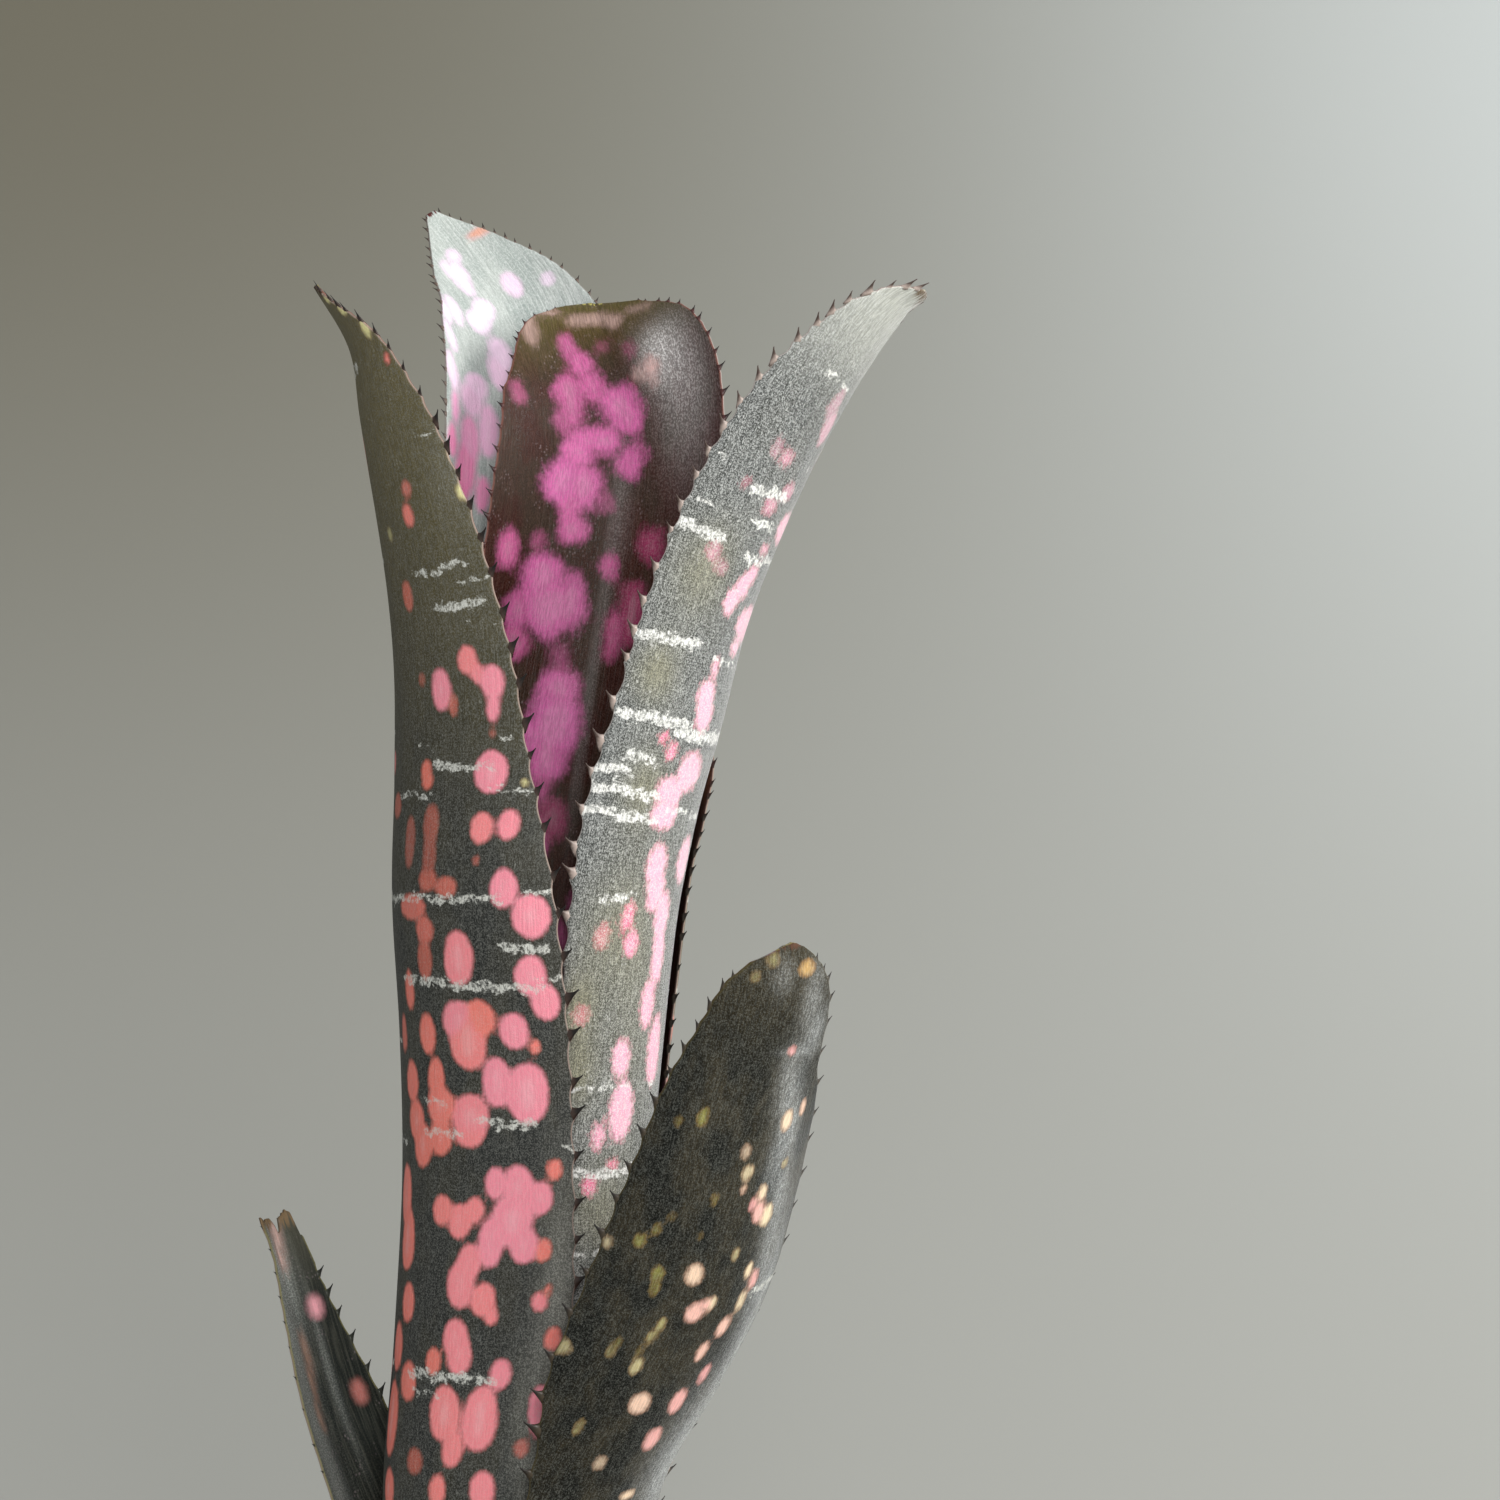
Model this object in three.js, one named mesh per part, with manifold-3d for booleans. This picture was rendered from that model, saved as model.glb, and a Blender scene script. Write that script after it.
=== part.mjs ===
// A potted billbergia: a tall tubular bromeliad in a plain clay pot.
// Millimetres, +Z up. The origin is the centre of the pot's flat underside, and -Y is the plant's front.
import * as THREE from "three";
import { mergeVertices } from "three/addons/utils/BufferGeometryUtils.js";
import Module from "manifold-3d";

const wasm = await Module();
wasm.setup();

// Pot
const POT_HEIGHT = 105;
const POT_TOP_RADIUS = 57;
const POT_BASE_RADIUS = 39;
const POT_WALL = 5.5;
const POT_FLOOR = 8;
const COLLAR_HEIGHT = 24;
const COLLAR_STEP = 3.5;
const RIM_ROUND = 1.6;
const POT_SIDES = 40;
const DRAIN_COUNT = 3;
const DRAIN_RADIUS = 4.5;
const DRAIN_CIRCLE = 19;

// Potting mix, stem and roots
const CLEARANCE = 0.3;
const MIX_TOP = 96;
const MIX_DISH = 2;
const STEM_BOTTOM = 72;
const STEM_RADIUS = 13;
const COLLAR_OF_LEAVES = 93.5;
const STEM_SHOULDER_RADIUS = 15.6;
const STEM_TOP = 119;
const STEM_TOP_RADIUS = 5.2;
const STEM_SIDES = 24;
const ROOT_RADIUS = 1.1;
const ROOT_SIDES = 4;
const ROOT_STEPS = 8;

// Leaves: thin shells that wrap round one another in layers, the innermost first
const LEAF_THICKNESS = 0.9;
const MARGIN_THINNING = 0.35;
const LAYER_PITCH = 1.5;
const LOWEST_LEAF_BASE = 94;
const OUTERMOST_LAYER = 8;
const ACROSS = 12;
const STEPS_PER_WRAP = 1;
const STEPS_PER_FREE = 2;

// The tube that the leaf sheaths form: [height, axis x, axis y, radius of the innermost layer]
const TUBE = [
  [92, 0, 0, 4.4],
  [106, 0, 0, 5.4],
  [120, 0, 0, 6.9],
  [134, -0.6, 0, 10.2],
  [150, -1.5, 0, 13.8],
  [165, -1.9, 0, 15.6],
  [180, -1.9, 0, 16.1],
  [196, -0.8, 0, 16.2],
  [212, 0.8, 0, 16.4],
  [228, 1.6, 0, 16.5],
  [244, 2.2, 0, 17.0],
  [260, 2.8, 0, 18.2],
  [276, 3.2, 0, 19.6],
  [292, 4.6, 0, 21.0],
];

// Each leaf has a layer, the way that its sheath faces (degrees from the front, towards +X), and two lists.
// wrap: [height, half of the sheath's sweep in degrees]. free: [x, y, z of the midrib, half width,
// radius that it curls to, degrees that it faces], from where it leaves the tube up to its tip.
const LEAVES = [
  {
    name: "leaf_center",
    layer: 0,
    facing: 177,
    color: 0x6b3346,
    wrap: [[118, 95], [132, 92], [148, 88], [168, 82], [190, 77], [212, 74], [236, 71], [260, 68],
      [282, 66]],
    free: [
      [7.8, 21.3, 308, 24.0, 21.5, 176],
      [10.3, 22.8, 325, 24.0, 22.0, 175.5],
      [12.6, 24.3, 342, 23.8, 23.0, 175.5],
      [13.7, 26.3, 356, 22.6, 24.0, 175.5],
      [12.7, 29.3, 367, 20.8, 25.0, 176],
      [10.0, 33.0, 376, 15.2, 26.0, 177],
      [9.0, 36.5, 380.4, 8.6, 27.0, 178],
      [8.6, 39.5, 382.3, 1.0, 28.0, 178],
    ],
  },
  {
    name: "leaf_right",
    layer: 1,
    facing: 70,
    color: 0x7b7d76,
    wrap: [[115, 96], [130, 93], [146, 90], [168, 85], [190, 79], [212, 74], [234, 69], [256, 64],
      [276, 60]],
    free: [
      [26.1, -7.3, 292, 22.9, 22.0, 70],
      [30.4, -8.3, 308, 22.1, 22.0, 69],
      [34.5, -9.3, 324, 20.9, 21.5, 67],
      [40.9, -10.4, 341, 19.7, 21.0, 65],
      [47.8, -11.5, 356, 17.2, 20.5, 63],
      [55.2, -12.2, 368, 12.8, 20.0, 62],
      [60.8, -12.0, 374.5, 8.0, 19.0, 63],
      [65.3, -11.0, 377.5, 1.5, 18.0, 66],
    ],
  },
  {
    name: "leaf_back_right",
    layer: 2,
    facing: 135,
    color: 0x5b5f55,
    wrap: [[112, 92], [126, 82], [142, 70], [162, 58], [186, 50], [212, 45], [238, 43], [264, 45],
      [284, 42]],
    free: [
      [25.7, 15.7, 298, 10.3, 24.4, 130],
      [26.8, 15.8, 306, 6.0, 24.6, 130],
      [28.2, 17.2, 312, 1.0, 25.0, 130],
    ],
  },
  {
    name: "leaf_back_left",
    layer: 3,
    facing: -155,
    color: 0x6f7a70,
    wrap: [[109, 92], [124, 87], [140, 82], [162, 76], [186, 70], [212, 64], [238, 59], [264, 55],
      [284, 45]],
    free: [
      [-5.6, 22.9, 302, 18.8, 24.2, -155],
      [-3.5, 25.2, 320, 20.2, 24.0, -158],
      [-2.2, 28.6, 338, 20.4, 24.0, -159],
      [-1.5, 32.8, 354, 20.2, 24.0, -160],
      [-2.7, 37.2, 368, 19.0, 23.5, -160],
      [-7.2, 41.2, 381, 14.8, 23.0, -160],
      [-13.5, 44.0, 390, 9.0, 22.0, -160],
      [-20.7, 45.5, 399.2, 1.0, 21.0, -160],
    ],
  },
  {
    name: "leaf_left",
    layer: 4,
    facing: -68,
    color: 0x3f423b,
    wrap: [[106, 92], [121, 91], [138, 91], [158, 91], [180, 91], [205, 90], [232, 86], [256, 81],
      [278, 74]],
    free: [
      [-20.1, -8.6, 298, 28.3, 24.5, -66],
      [-20.0, -9.2, 313, 25.5, 24.0, -66],
      [-21.3, -9.6, 328, 23.2, 23.0, -68],
      [-23.9, -9.8, 343, 21.6, 22.5, -72],
      [-26.9, -9.5, 358, 18.4, 22.0, -76],
      [-28.9, -9.3, 369, 12.2, 21.0, -80],
      [-34.6, -9.6, 379, 1.0, 20.0, -84],
    ],
  },
  {
    name: "leaf_low_right",
    layer: 5,
    facing: 40,
    color: 0x45483f,
    wrap: [[103, 92], [117, 84], [132, 74], [148, 62], [163, 52]],
    free: [
      [14.0, -20.3, 180, 15.5, 24.0, 40],
      [22.0, -26.0, 197, 20.8, 24.5, 39],
      [30.0, -31.5, 214, 22.0, 25.0, 38],
      [34.2, -36.5, 230, 20.0, 25.0, 37],
      [37.8, -41.0, 246, 16.3, 25.0, 36],
      [41.4, -44.5, 260, 11.3, 25.0, 35],
      [43.0, -46.5, 268, 6.8, 24.0, 34],
      [43.0, -47.5, 273.5, 1.0, 23.0, 34],
    ],
  },
  {
    name: "leaf_low_left",
    layer: 6,
    facing: -128,
    color: 0x2f3a33,
    wrap: [[100, 90], [112, 78], [124, 66], [138, 52], [150, 40]],
    free: [
      [-24.5, 14.0, 165, 12.0, 22.0, -138],
      [-29.8, 12.8, 179, 10.8, 17.0, -143],
      [-35.0, 14.0, 192, 9.0, 14.0, -145],
      [-39.2, 16.0, 205, 5.8, 14.0, -145],
      [-42.5, 18.0, 216, 3.6, 14.0, -145],
      [-45.0, 19.0, 223.5, 2.6, 14.0, -145],
    ],
  },
  {
    name: "sheath_right",
    layer: 7,
    facing: 100,
    color: 0x6e5a3d,
    wrap: [[97, 88], [108, 80], [119, 70], [130, 58], [141, 44]],
    free: [
      [25.5, 4.5, 150, 11.5, 26.0, 100],
      [28.0, 5.0, 159, 5.5, 26.0, 100],
      [30.0, 5.5, 166, 1.0, 26.0, 100],
    ],
  },
  {
    name: "sheath_front",
    layer: 8,
    facing: -40,
    color: 0x7a6244,
    wrap: [[94, 84], [104, 74], [114, 62], [124, 48]],
    free: [
      [-15.5, -18.5, 133, 11.0, 26.0, -40],
      [-17.5, -21.0, 141, 5.5, 26.0, -40],
      [-19.5, -23.5, 147, 1.0, 26.0, -40],
    ],
  },
];

// Each root leaves the stem at [degrees from the front, height] and ends at [degrees, radius, height]
const ROOTS = [
  { from: [10, 80], to: [34, 33, 34] },
  { from: [82, 76], to: [64, 30, 22] },
  { from: [150, 82], to: [172, 37, 48] },
  { from: [215, 77], to: [236, 31, 27] },
  { from: [288, 81], to: [270, 36, 41] },
];

const radians = THREE.MathUtils.degToRad;

// The horizontal unit vector that points the given number of degrees from the front, towards +X.
function heading(degrees) {
  return new THREE.Vector3(Math.sin(radians(degrees)), -Math.cos(radians(degrees)), 0);
}

// Rows of numbers read as one smooth curve, with share from 0 at the first row to 1 at the last.
function smoothRow(rows, share) {
  const last = rows.length - 1;
  const place = Math.min(Math.max(share * last, 0), last - 1e-6);
  const first = Math.floor(place);
  const f = place - first;
  const row = (k) => {
    if (k < 0) return rows[0].map((value, c) => 2 * value - rows[1][c]);
    if (k > last) return rows[last].map((value, c) => 2 * value - rows[last - 1][c]);
    return rows[k];
  };
  const [a, b, c, d] = [row(first - 1), row(first), row(first + 1), row(first + 2)];
  return b.map((_, k) => 0.5 * (2 * b[k] + (c[k] - a[k]) * f
    + (2 * a[k] - 5 * b[k] + 4 * c[k] - d[k]) * f * f
    + (3 * b[k] - a[k] - 3 * c[k] + d[k]) * f * f * f));
}

// The tube's axis and innermost radius at a height.
function tubeAt(height) {
  const above = TUBE.findIndex((row) => row[0] > height);
  const k = above < 0 ? TUBE.length - 2 : Math.max(above - 1, 0);
  const share = (k + (height - TUBE[k][0]) / (TUBE[k + 1][0] - TUBE[k][0])) / (TUBE.length - 1);
  const [, x, y, radius] = smoothRow(TUBE, share);
  return { x, y, radius };
}

// A leaf's rows [x, y, z, half width, curl radius, facing, lean] from its base in the tube to its tip.
// Lean is 0 where its cross-section lies level in the tube, and 1 where it stands square to the midrib.
function stationsOf(leaf) {
  const wrapped = leaf.wrap.map(([height, sweep]) => {
    const { x, y, radius } = tubeAt(height);
    const own = radius + leaf.layer * LAYER_PITCH;
    const out = heading(leaf.facing);
    return [x + own * out.x, y + own * out.y, height, own * radians(sweep), own, leaf.facing, 0];
  });
  return [...wrapped, ...leaf.free.map((row) => [...row, 1])];
}

// The point of a leaf at across (-1 to 1), share (base 0 to tip 1) and depth (-0.5 inside to 0.5 outside).
function leafPoint(stations, across, share, depth) {
  const [x, y, z, half, curl, facing, lean] = smoothRow(stations, share);
  const nearby = 0.002;
  const ahead = smoothRow(stations, Math.min(share + nearby, 1));
  const behind = smoothRow(stations, Math.max(share - nearby, 0));
  const along = new THREE.Vector3(ahead[0] - behind[0], ahead[1] - behind[1], 0);
  along.multiplyScalar(THREE.MathUtils.clamp(lean, 0, 1)).setZ(ahead[2] - behind[2]).normalize();
  const side = heading(facing + 90);
  side.addScaledVector(along, -side.dot(along)).normalize();
  const out = side.clone().cross(along);
  const angle = across * half / curl;
  const normal = out.clone().multiplyScalar(Math.cos(angle)).addScaledVector(side, Math.sin(angle));
  const thickness = LEAF_THICKNESS * (1 - MARGIN_THINNING * across * across);
  return new THREE.Vector3(x, y, z)
    .addScaledVector(out, -curl)
    .addScaledVector(normal, curl + depth * thickness);
}

// The shares at which a leaf is cut into facets: finer where it is free than where it wraps the tube.
function rowShares(leaf) {
  const last = leaf.wrap.length + leaf.free.length - 1;
  const shares = [0];
  for (let k = 0; k < last; k++) {
    const steps = k < leaf.wrap.length ? STEPS_PER_WRAP : STEPS_PER_FREE;
    for (let j = 1; j <= steps; j++) shares.push((k + j / steps) / last);
  }
  return shares;
}

function leafGeometry(leaf) {
  const stations = stationsOf(leaf);
  const shares = rowShares(leaf);
  const steps = shares.length - 1;
  const shell = new THREE.BoxGeometry(2, steps, 1, ACROSS, steps, 1);
  const place = shell.attributes.position;
  for (let i = 0; i < place.count; i++) {
    const share = shares[Math.round(place.getY(i) + steps / 2)];
    const point = leafPoint(stations, place.getX(i), share, place.getZ(i));
    place.setXYZ(i, point.x, point.y, point.z);
  }
  shell.computeVertexNormals();
  return shell;
}

// A solid of revolution about +Z from [radius, height] points.
function turned(profile, sides) {
  const points = profile.map(([radius, height]) => new THREE.Vector2(radius, height));
  return new THREE.LatheGeometry(points, sides).rotateX(Math.PI / 2);
}

function solidOf(geometry) {
  const bare = geometry.index ? geometry.toNonIndexed() : geometry.clone();
  bare.deleteAttribute("normal");
  bare.deleteAttribute("uv");
  const merged = mergeVertices(bare, 1e-3);
  return new wasm.Manifold(new wasm.Mesh({
    numProp: 3,
    vertProperties: new Float32Array(merged.attributes.position.array),
    triVerts: new Uint32Array(merged.index.array),
  }));
}

function geometryOf(solid) {
  const mesh = solid.getMesh();
  const geometry = new THREE.BufferGeometry();
  geometry.setAttribute("position", new THREE.BufferAttribute(mesh.vertProperties, mesh.numProp));
  geometry.setIndex(new THREE.BufferAttribute(mesh.triVerts, 1));
  geometry.computeVertexNormals();
  return geometry;
}

// The pot's outer radius at a height below the collar.
function potRadius(height) {
  const bodyTop = POT_TOP_RADIUS - COLLAR_STEP;
  return POT_BASE_RADIUS + (bodyTop - POT_BASE_RADIUS) * height / POT_HEIGHT;
}

function potGeometry() {
  const collarBottom = POT_HEIGHT - COLLAR_HEIGHT;
  const innerTop = potRadius(POT_HEIGHT) - POT_WALL;
  const solid = solidOf(turned([
    [0, 0],
    [POT_BASE_RADIUS - RIM_ROUND, 0],
    [POT_BASE_RADIUS, RIM_ROUND],
    [potRadius(collarBottom), collarBottom],
    [POT_TOP_RADIUS - RIM_ROUND, collarBottom],
    [POT_TOP_RADIUS - RIM_ROUND / 2, collarBottom + RIM_ROUND],
    [POT_TOP_RADIUS, POT_HEIGHT - RIM_ROUND],
    [POT_TOP_RADIUS - RIM_ROUND, POT_HEIGHT],
    [innerTop + RIM_ROUND, POT_HEIGHT],
    [innerTop, POT_HEIGHT - RIM_ROUND],
    [potRadius(POT_FLOOR) - POT_WALL, POT_FLOOR],
    [0, POT_FLOOR],
  ], POT_SIDES));
  const drains = Array.from({ length: DRAIN_COUNT }, (_, k) => {
    const at = heading(360 * k / DRAIN_COUNT).multiplyScalar(DRAIN_CIRCLE);
    const hole = new THREE.CylinderGeometry(DRAIN_RADIUS, DRAIN_RADIUS, 3 * POT_FLOOR, 16);
    return solidOf(hole.rotateX(Math.PI / 2).translate(at.x, at.y, 0));
  });
  return geometryOf(drains.reduce((left, hole) => left.subtract(hole), solid));
}

// The stem's [radius, height] profile, grown by a clearance.
function stemProfile(grown) {
  return [
    [0, STEM_BOTTOM - grown],
    [STEM_RADIUS - 2 + grown, STEM_BOTTOM - grown],
    [STEM_RADIUS + grown, STEM_BOTTOM + 3],
    [STEM_RADIUS + grown, COLLAR_OF_LEAVES - 7],
    [STEM_SHOULDER_RADIUS + grown, COLLAR_OF_LEAVES],
  ];
}

function stemGeometry() {
  return turned([
    ...stemProfile(0),
    [STEM_TOP_RADIUS, STEM_TOP],
    [STEM_TOP_RADIUS / 2, STEM_TOP + 2],
    [0, STEM_TOP + 2.5],
  ], STEM_SIDES);
}

// The curve that a root follows out of the stem and down towards the pot's wall.
function rootPath(root) {
  const [angle, height] = root.from;
  const [endAngle, endRadius, endHeight] = root.to;
  const point = (degrees, radius, z) => heading(degrees).multiplyScalar(radius).setZ(z);
  return new THREE.CubicBezierCurve3(
    point(angle, STEM_RADIUS + 2 * CLEARANCE, height),
    point(angle, STEM_RADIUS + 12, height - 1),
    point(endAngle, endRadius - 2, endHeight + 22),
    point(endAngle, endRadius, endHeight),
  );
}

function rootGeometry(root, grown) {
  const section = new THREE.Shape();
  section.absarc(0, 0, ROOT_RADIUS + grown, 0, 2 * Math.PI, false);
  return new THREE.ExtrudeGeometry(section, {
    steps: ROOT_STEPS, curveSegments: ROOT_SIDES, extrudePath: rootPath(root),
  });
}

// The channel that a root runs in, a little wider than the root and longer at both ends.
function rootChannel(root) {
  const ends = [0, 1].map((share) => {
    const at = rootPath(root).getPoint(share);
    const ball = new THREE.SphereGeometry(ROOT_RADIUS + 2 * CLEARANCE, 8, 6);
    return solidOf(ball.translate(at.x, at.y, at.z));
  });
  return ends.reduce((all, end) => all.add(end), solidOf(rootGeometry(root, CLEARANCE)));
}

function mixGeometry() {
  const inner = (height) => potRadius(height) - POT_WALL - CLEARANCE;
  const outermost = tubeAt(LOWEST_LEAF_BASE).radius + OUTERMOST_LAYER * LAYER_PITCH;
  const mouth = outermost + LEAF_THICKNESS / 2 + 3 * CLEARANCE;
  const bottom = POT_FLOOR + CLEARANCE;
  const shelf = LOWEST_LEAF_BASE - CLEARANCE;
  const bed = solidOf(turned([
    [0, bottom],
    [inner(bottom) - CLEARANCE, bottom],
    [inner(MIX_TOP - MIX_DISH), MIX_TOP - MIX_DISH],
    [(inner(MIX_TOP) + mouth) / 2, MIX_TOP],
    [mouth, MIX_TOP],
    [mouth, shelf],
    ...stemProfile(CLEARANCE).reverse().map(([r, z]) => [r, Math.min(z, shelf)]),
  ], POT_SIDES));
  return geometryOf(ROOTS.reduce((left, root) => left.subtract(rootChannel(root)), bed));
}

function piece(name, geometry, color, roughness) {
  const mesh = new THREE.Mesh(geometry, new THREE.MeshStandardMaterial({ color, roughness }));
  mesh.name = name;
  return mesh;
}

const plant = new THREE.Group();
plant.add(piece("pot", potGeometry(), 0xa8623f, 0.9));
plant.add(piece("potting_mix", mixGeometry(), 0x3b2a1e, 1.0));
plant.add(piece("stem", stemGeometry(), 0x8a7a55, 0.8));
ROOTS.forEach((root, k) => {
  plant.add(piece(`root_${k + 1}`, rootGeometry(root, 0), 0x5a4633, 0.9));
});
for (const leaf of LEAVES) {
  plant.add(piece(leaf.name, leafGeometry(leaf), leaf.color, 0.55));
}

export default plant;
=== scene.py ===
import math
import random
from collections import namedtuple

import bmesh
import bpy
from bpy.props import FloatProperty, FloatVectorProperty, IntProperty, PointerProperty
from mathutils import Matrix, Vector, noise


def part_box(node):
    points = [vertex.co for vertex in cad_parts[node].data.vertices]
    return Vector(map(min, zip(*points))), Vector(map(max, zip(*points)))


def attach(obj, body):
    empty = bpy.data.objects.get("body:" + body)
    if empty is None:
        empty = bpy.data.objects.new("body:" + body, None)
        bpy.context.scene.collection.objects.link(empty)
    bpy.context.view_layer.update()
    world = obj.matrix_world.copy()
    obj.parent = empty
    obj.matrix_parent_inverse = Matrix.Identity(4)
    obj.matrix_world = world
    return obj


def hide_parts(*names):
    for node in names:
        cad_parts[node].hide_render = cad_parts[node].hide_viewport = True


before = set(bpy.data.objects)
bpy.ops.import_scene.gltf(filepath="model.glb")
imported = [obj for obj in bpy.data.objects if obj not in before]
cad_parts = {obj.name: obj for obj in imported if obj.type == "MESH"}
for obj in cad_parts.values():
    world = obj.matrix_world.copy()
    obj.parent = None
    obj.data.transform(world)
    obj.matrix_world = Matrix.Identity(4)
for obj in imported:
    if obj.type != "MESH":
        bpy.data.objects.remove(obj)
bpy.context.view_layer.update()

bl_info = {
    "name": "Potted Billbergia",
    "version": (1, 0, 0),
    "blender": (4, 5, 0),
    "location": "View3D > Sidebar > Billbergia",
    "description": "Builds a spotted tubular bromeliad in a clay pot around its packed model",
    "category": "Object",
}

BODY = "root"
MM = 0.001

# The tube that the leaf sheaths form: (height, axis x, axis y, radius of the innermost layer), in mm
TUBE = [
    (92, 0, 0, 4.4),
    (106, 0, 0, 5.4),
    (120, 0, 0, 6.9),
    (134, -0.6, 0, 10.2),
    (150, -1.5, 0, 13.8),
    (165, -1.9, 0, 15.6),
    (180, -1.9, 0, 16.1),
    (196, -0.8, 0, 16.2),
    (212, 0.8, 0, 16.4),
    (228, 1.6, 0, 16.5),
    (244, 2.2, 0, 17.0),
    (260, 2.8, 0, 18.2),
    (276, 3.2, 0, 19.6),
    (292, 4.6, 0, 21.0),
]

# A leaf's outline. wrap: (height, half of the sheath's sweep in degrees). free: (x, y, z of the midrib,
# half width, radius it curls to, degrees it faces), in mm, from where it leaves the tube up to its tip.
Leaf = namedtuple("Leaf", "name layer facing slot wrap free")
LEAVES = [
    Leaf("leaf_center", 0, 177, "leaf_inner",
         [(118, 95), (132, 92), (148, 88), (168, 82), (190, 77), (212, 74), (236, 71), (260, 68),
          (282, 66)],
         [(7.8, 21.3, 308, 24.0, 21.5, 176),
          (10.3, 22.8, 325, 24.0, 22.0, 175.5),
          (12.6, 24.3, 342, 23.8, 23.0, 175.5),
          (13.7, 26.3, 356, 22.6, 24.0, 175.5),
          (12.7, 29.3, 367, 20.8, 25.0, 176),
          (10.0, 33.0, 376, 15.2, 26.0, 177),
          (9.0, 36.5, 380.4, 8.6, 27.0, 178),
          (8.6, 39.5, 382.3, 1.0, 28.0, 178)]),
    Leaf("leaf_right", 1, 70, "leaf_pale",
         [(115, 96), (130, 93), (146, 90), (168, 85), (190, 79), (212, 74), (234, 69), (256, 64),
          (276, 60)],
         [(26.1, -7.3, 292, 22.9, 22.0, 70),
          (30.4, -8.3, 308, 22.1, 22.0, 69),
          (34.5, -9.3, 324, 20.9, 21.5, 67),
          (40.9, -10.4, 341, 19.7, 21.0, 65),
          (47.8, -11.5, 356, 17.2, 20.5, 63),
          (55.2, -12.2, 368, 12.8, 20.0, 62),
          (60.8, -12.0, 374.5, 8.0, 19.0, 63),
          (65.3, -11.0, 377.5, 1.5, 18.0, 66)]),
    Leaf("leaf_back_right", 2, 135, "leaf_dark",
         [(112, 92), (126, 82), (142, 70), (162, 58), (186, 50), (212, 45), (238, 43), (264, 45),
          (284, 42)],
         [(25.7, 15.7, 298, 10.3, 24.4, 130),
          (26.8, 15.8, 306, 6.0, 24.6, 130),
          (28.2, 17.2, 312, 1.0, 25.0, 130)]),
    Leaf("leaf_back_left", 3, -155, "leaf_pale",
         [(109, 92), (124, 87), (140, 82), (162, 76), (186, 70), (212, 64), (238, 59), (264, 55),
          (284, 45)],
         [(-5.6, 22.9, 302, 18.8, 24.2, -155),
          (-3.5, 25.2, 320, 20.2, 24.0, -158),
          (-2.2, 28.6, 338, 20.4, 24.0, -159),
          (-1.5, 32.8, 354, 20.2, 24.0, -160),
          (-2.7, 37.2, 368, 19.0, 23.5, -160),
          (-7.2, 41.2, 381, 14.8, 23.0, -160),
          (-13.5, 44.0, 390, 9.0, 22.0, -160),
          (-20.7, 45.5, 399.2, 1.0, 21.0, -160)]),
    Leaf("leaf_left", 4, -68, "leaf_dark",
         [(106, 92), (121, 91), (138, 91), (158, 91), (180, 91), (205, 90), (232, 86), (256, 81),
          (278, 74)],
         [(-20.1, -8.6, 298, 28.3, 24.5, -66),
          (-20.0, -9.2, 313, 25.5, 24.0, -66),
          (-21.3, -9.6, 328, 23.2, 23.0, -68),
          (-23.9, -9.8, 343, 21.6, 22.5, -72),
          (-26.9, -9.5, 358, 18.4, 22.0, -76),
          (-28.9, -9.3, 369, 12.2, 21.0, -80),
          (-34.6, -9.6, 379, 1.0, 20.0, -84)]),
    Leaf("leaf_low_right", 5, 40, "leaf_dark",
         [(103, 92), (117, 84), (132, 74), (148, 62), (163, 52)],
         [(14.0, -20.3, 180, 15.5, 24.0, 40),
          (22.0, -26.0, 197, 20.8, 24.5, 39),
          (30.0, -31.5, 214, 22.0, 25.0, 38),
          (34.2, -36.5, 230, 20.0, 25.0, 37),
          (37.8, -41.0, 246, 16.3, 25.0, 36),
          (41.4, -44.5, 260, 11.3, 25.0, 35),
          (43.0, -46.5, 268, 6.8, 24.0, 34),
          (43.0, -47.5, 273.5, 1.0, 23.0, 34)]),
    Leaf("leaf_low_left", 6, -128, "leaf_dark",
         [(100, 90), (112, 78), (124, 66), (138, 52), (150, 40)],
         [(-24.5, 14.0, 165, 12.0, 22.0, -138),
          (-29.8, 12.8, 179, 10.8, 17.0, -143),
          (-35.0, 14.0, 192, 9.0, 14.0, -145),
          (-39.2, 16.0, 205, 5.8, 14.0, -145),
          (-42.5, 18.0, 216, 3.6, 14.0, -145),
          (-45.0, 19.0, 223.5, 2.6, 14.0, -145)]),
    Leaf("sheath_right", 7, 100, "sheath_dry",
         [(97, 88), (108, 80), (119, 70), (130, 58), (141, 44)],
         [(25.5, 4.5, 150, 11.5, 26.0, 100),
          (28.0, 5.0, 159, 5.5, 26.0, 100),
          (30.0, 5.5, 166, 1.0, 26.0, 100)]),
    Leaf("sheath_front", 8, -40, "sheath_dry",
         [(94, 84), (104, 74), (114, 62), (124, 48)],
         [(-15.5, -18.5, 133, 11.0, 26.0, -40),
          (-17.5, -21.0, 141, 5.5, 26.0, -40),
          (-19.5, -23.5, 147, 1.0, 26.0, -40)]),
]

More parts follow.
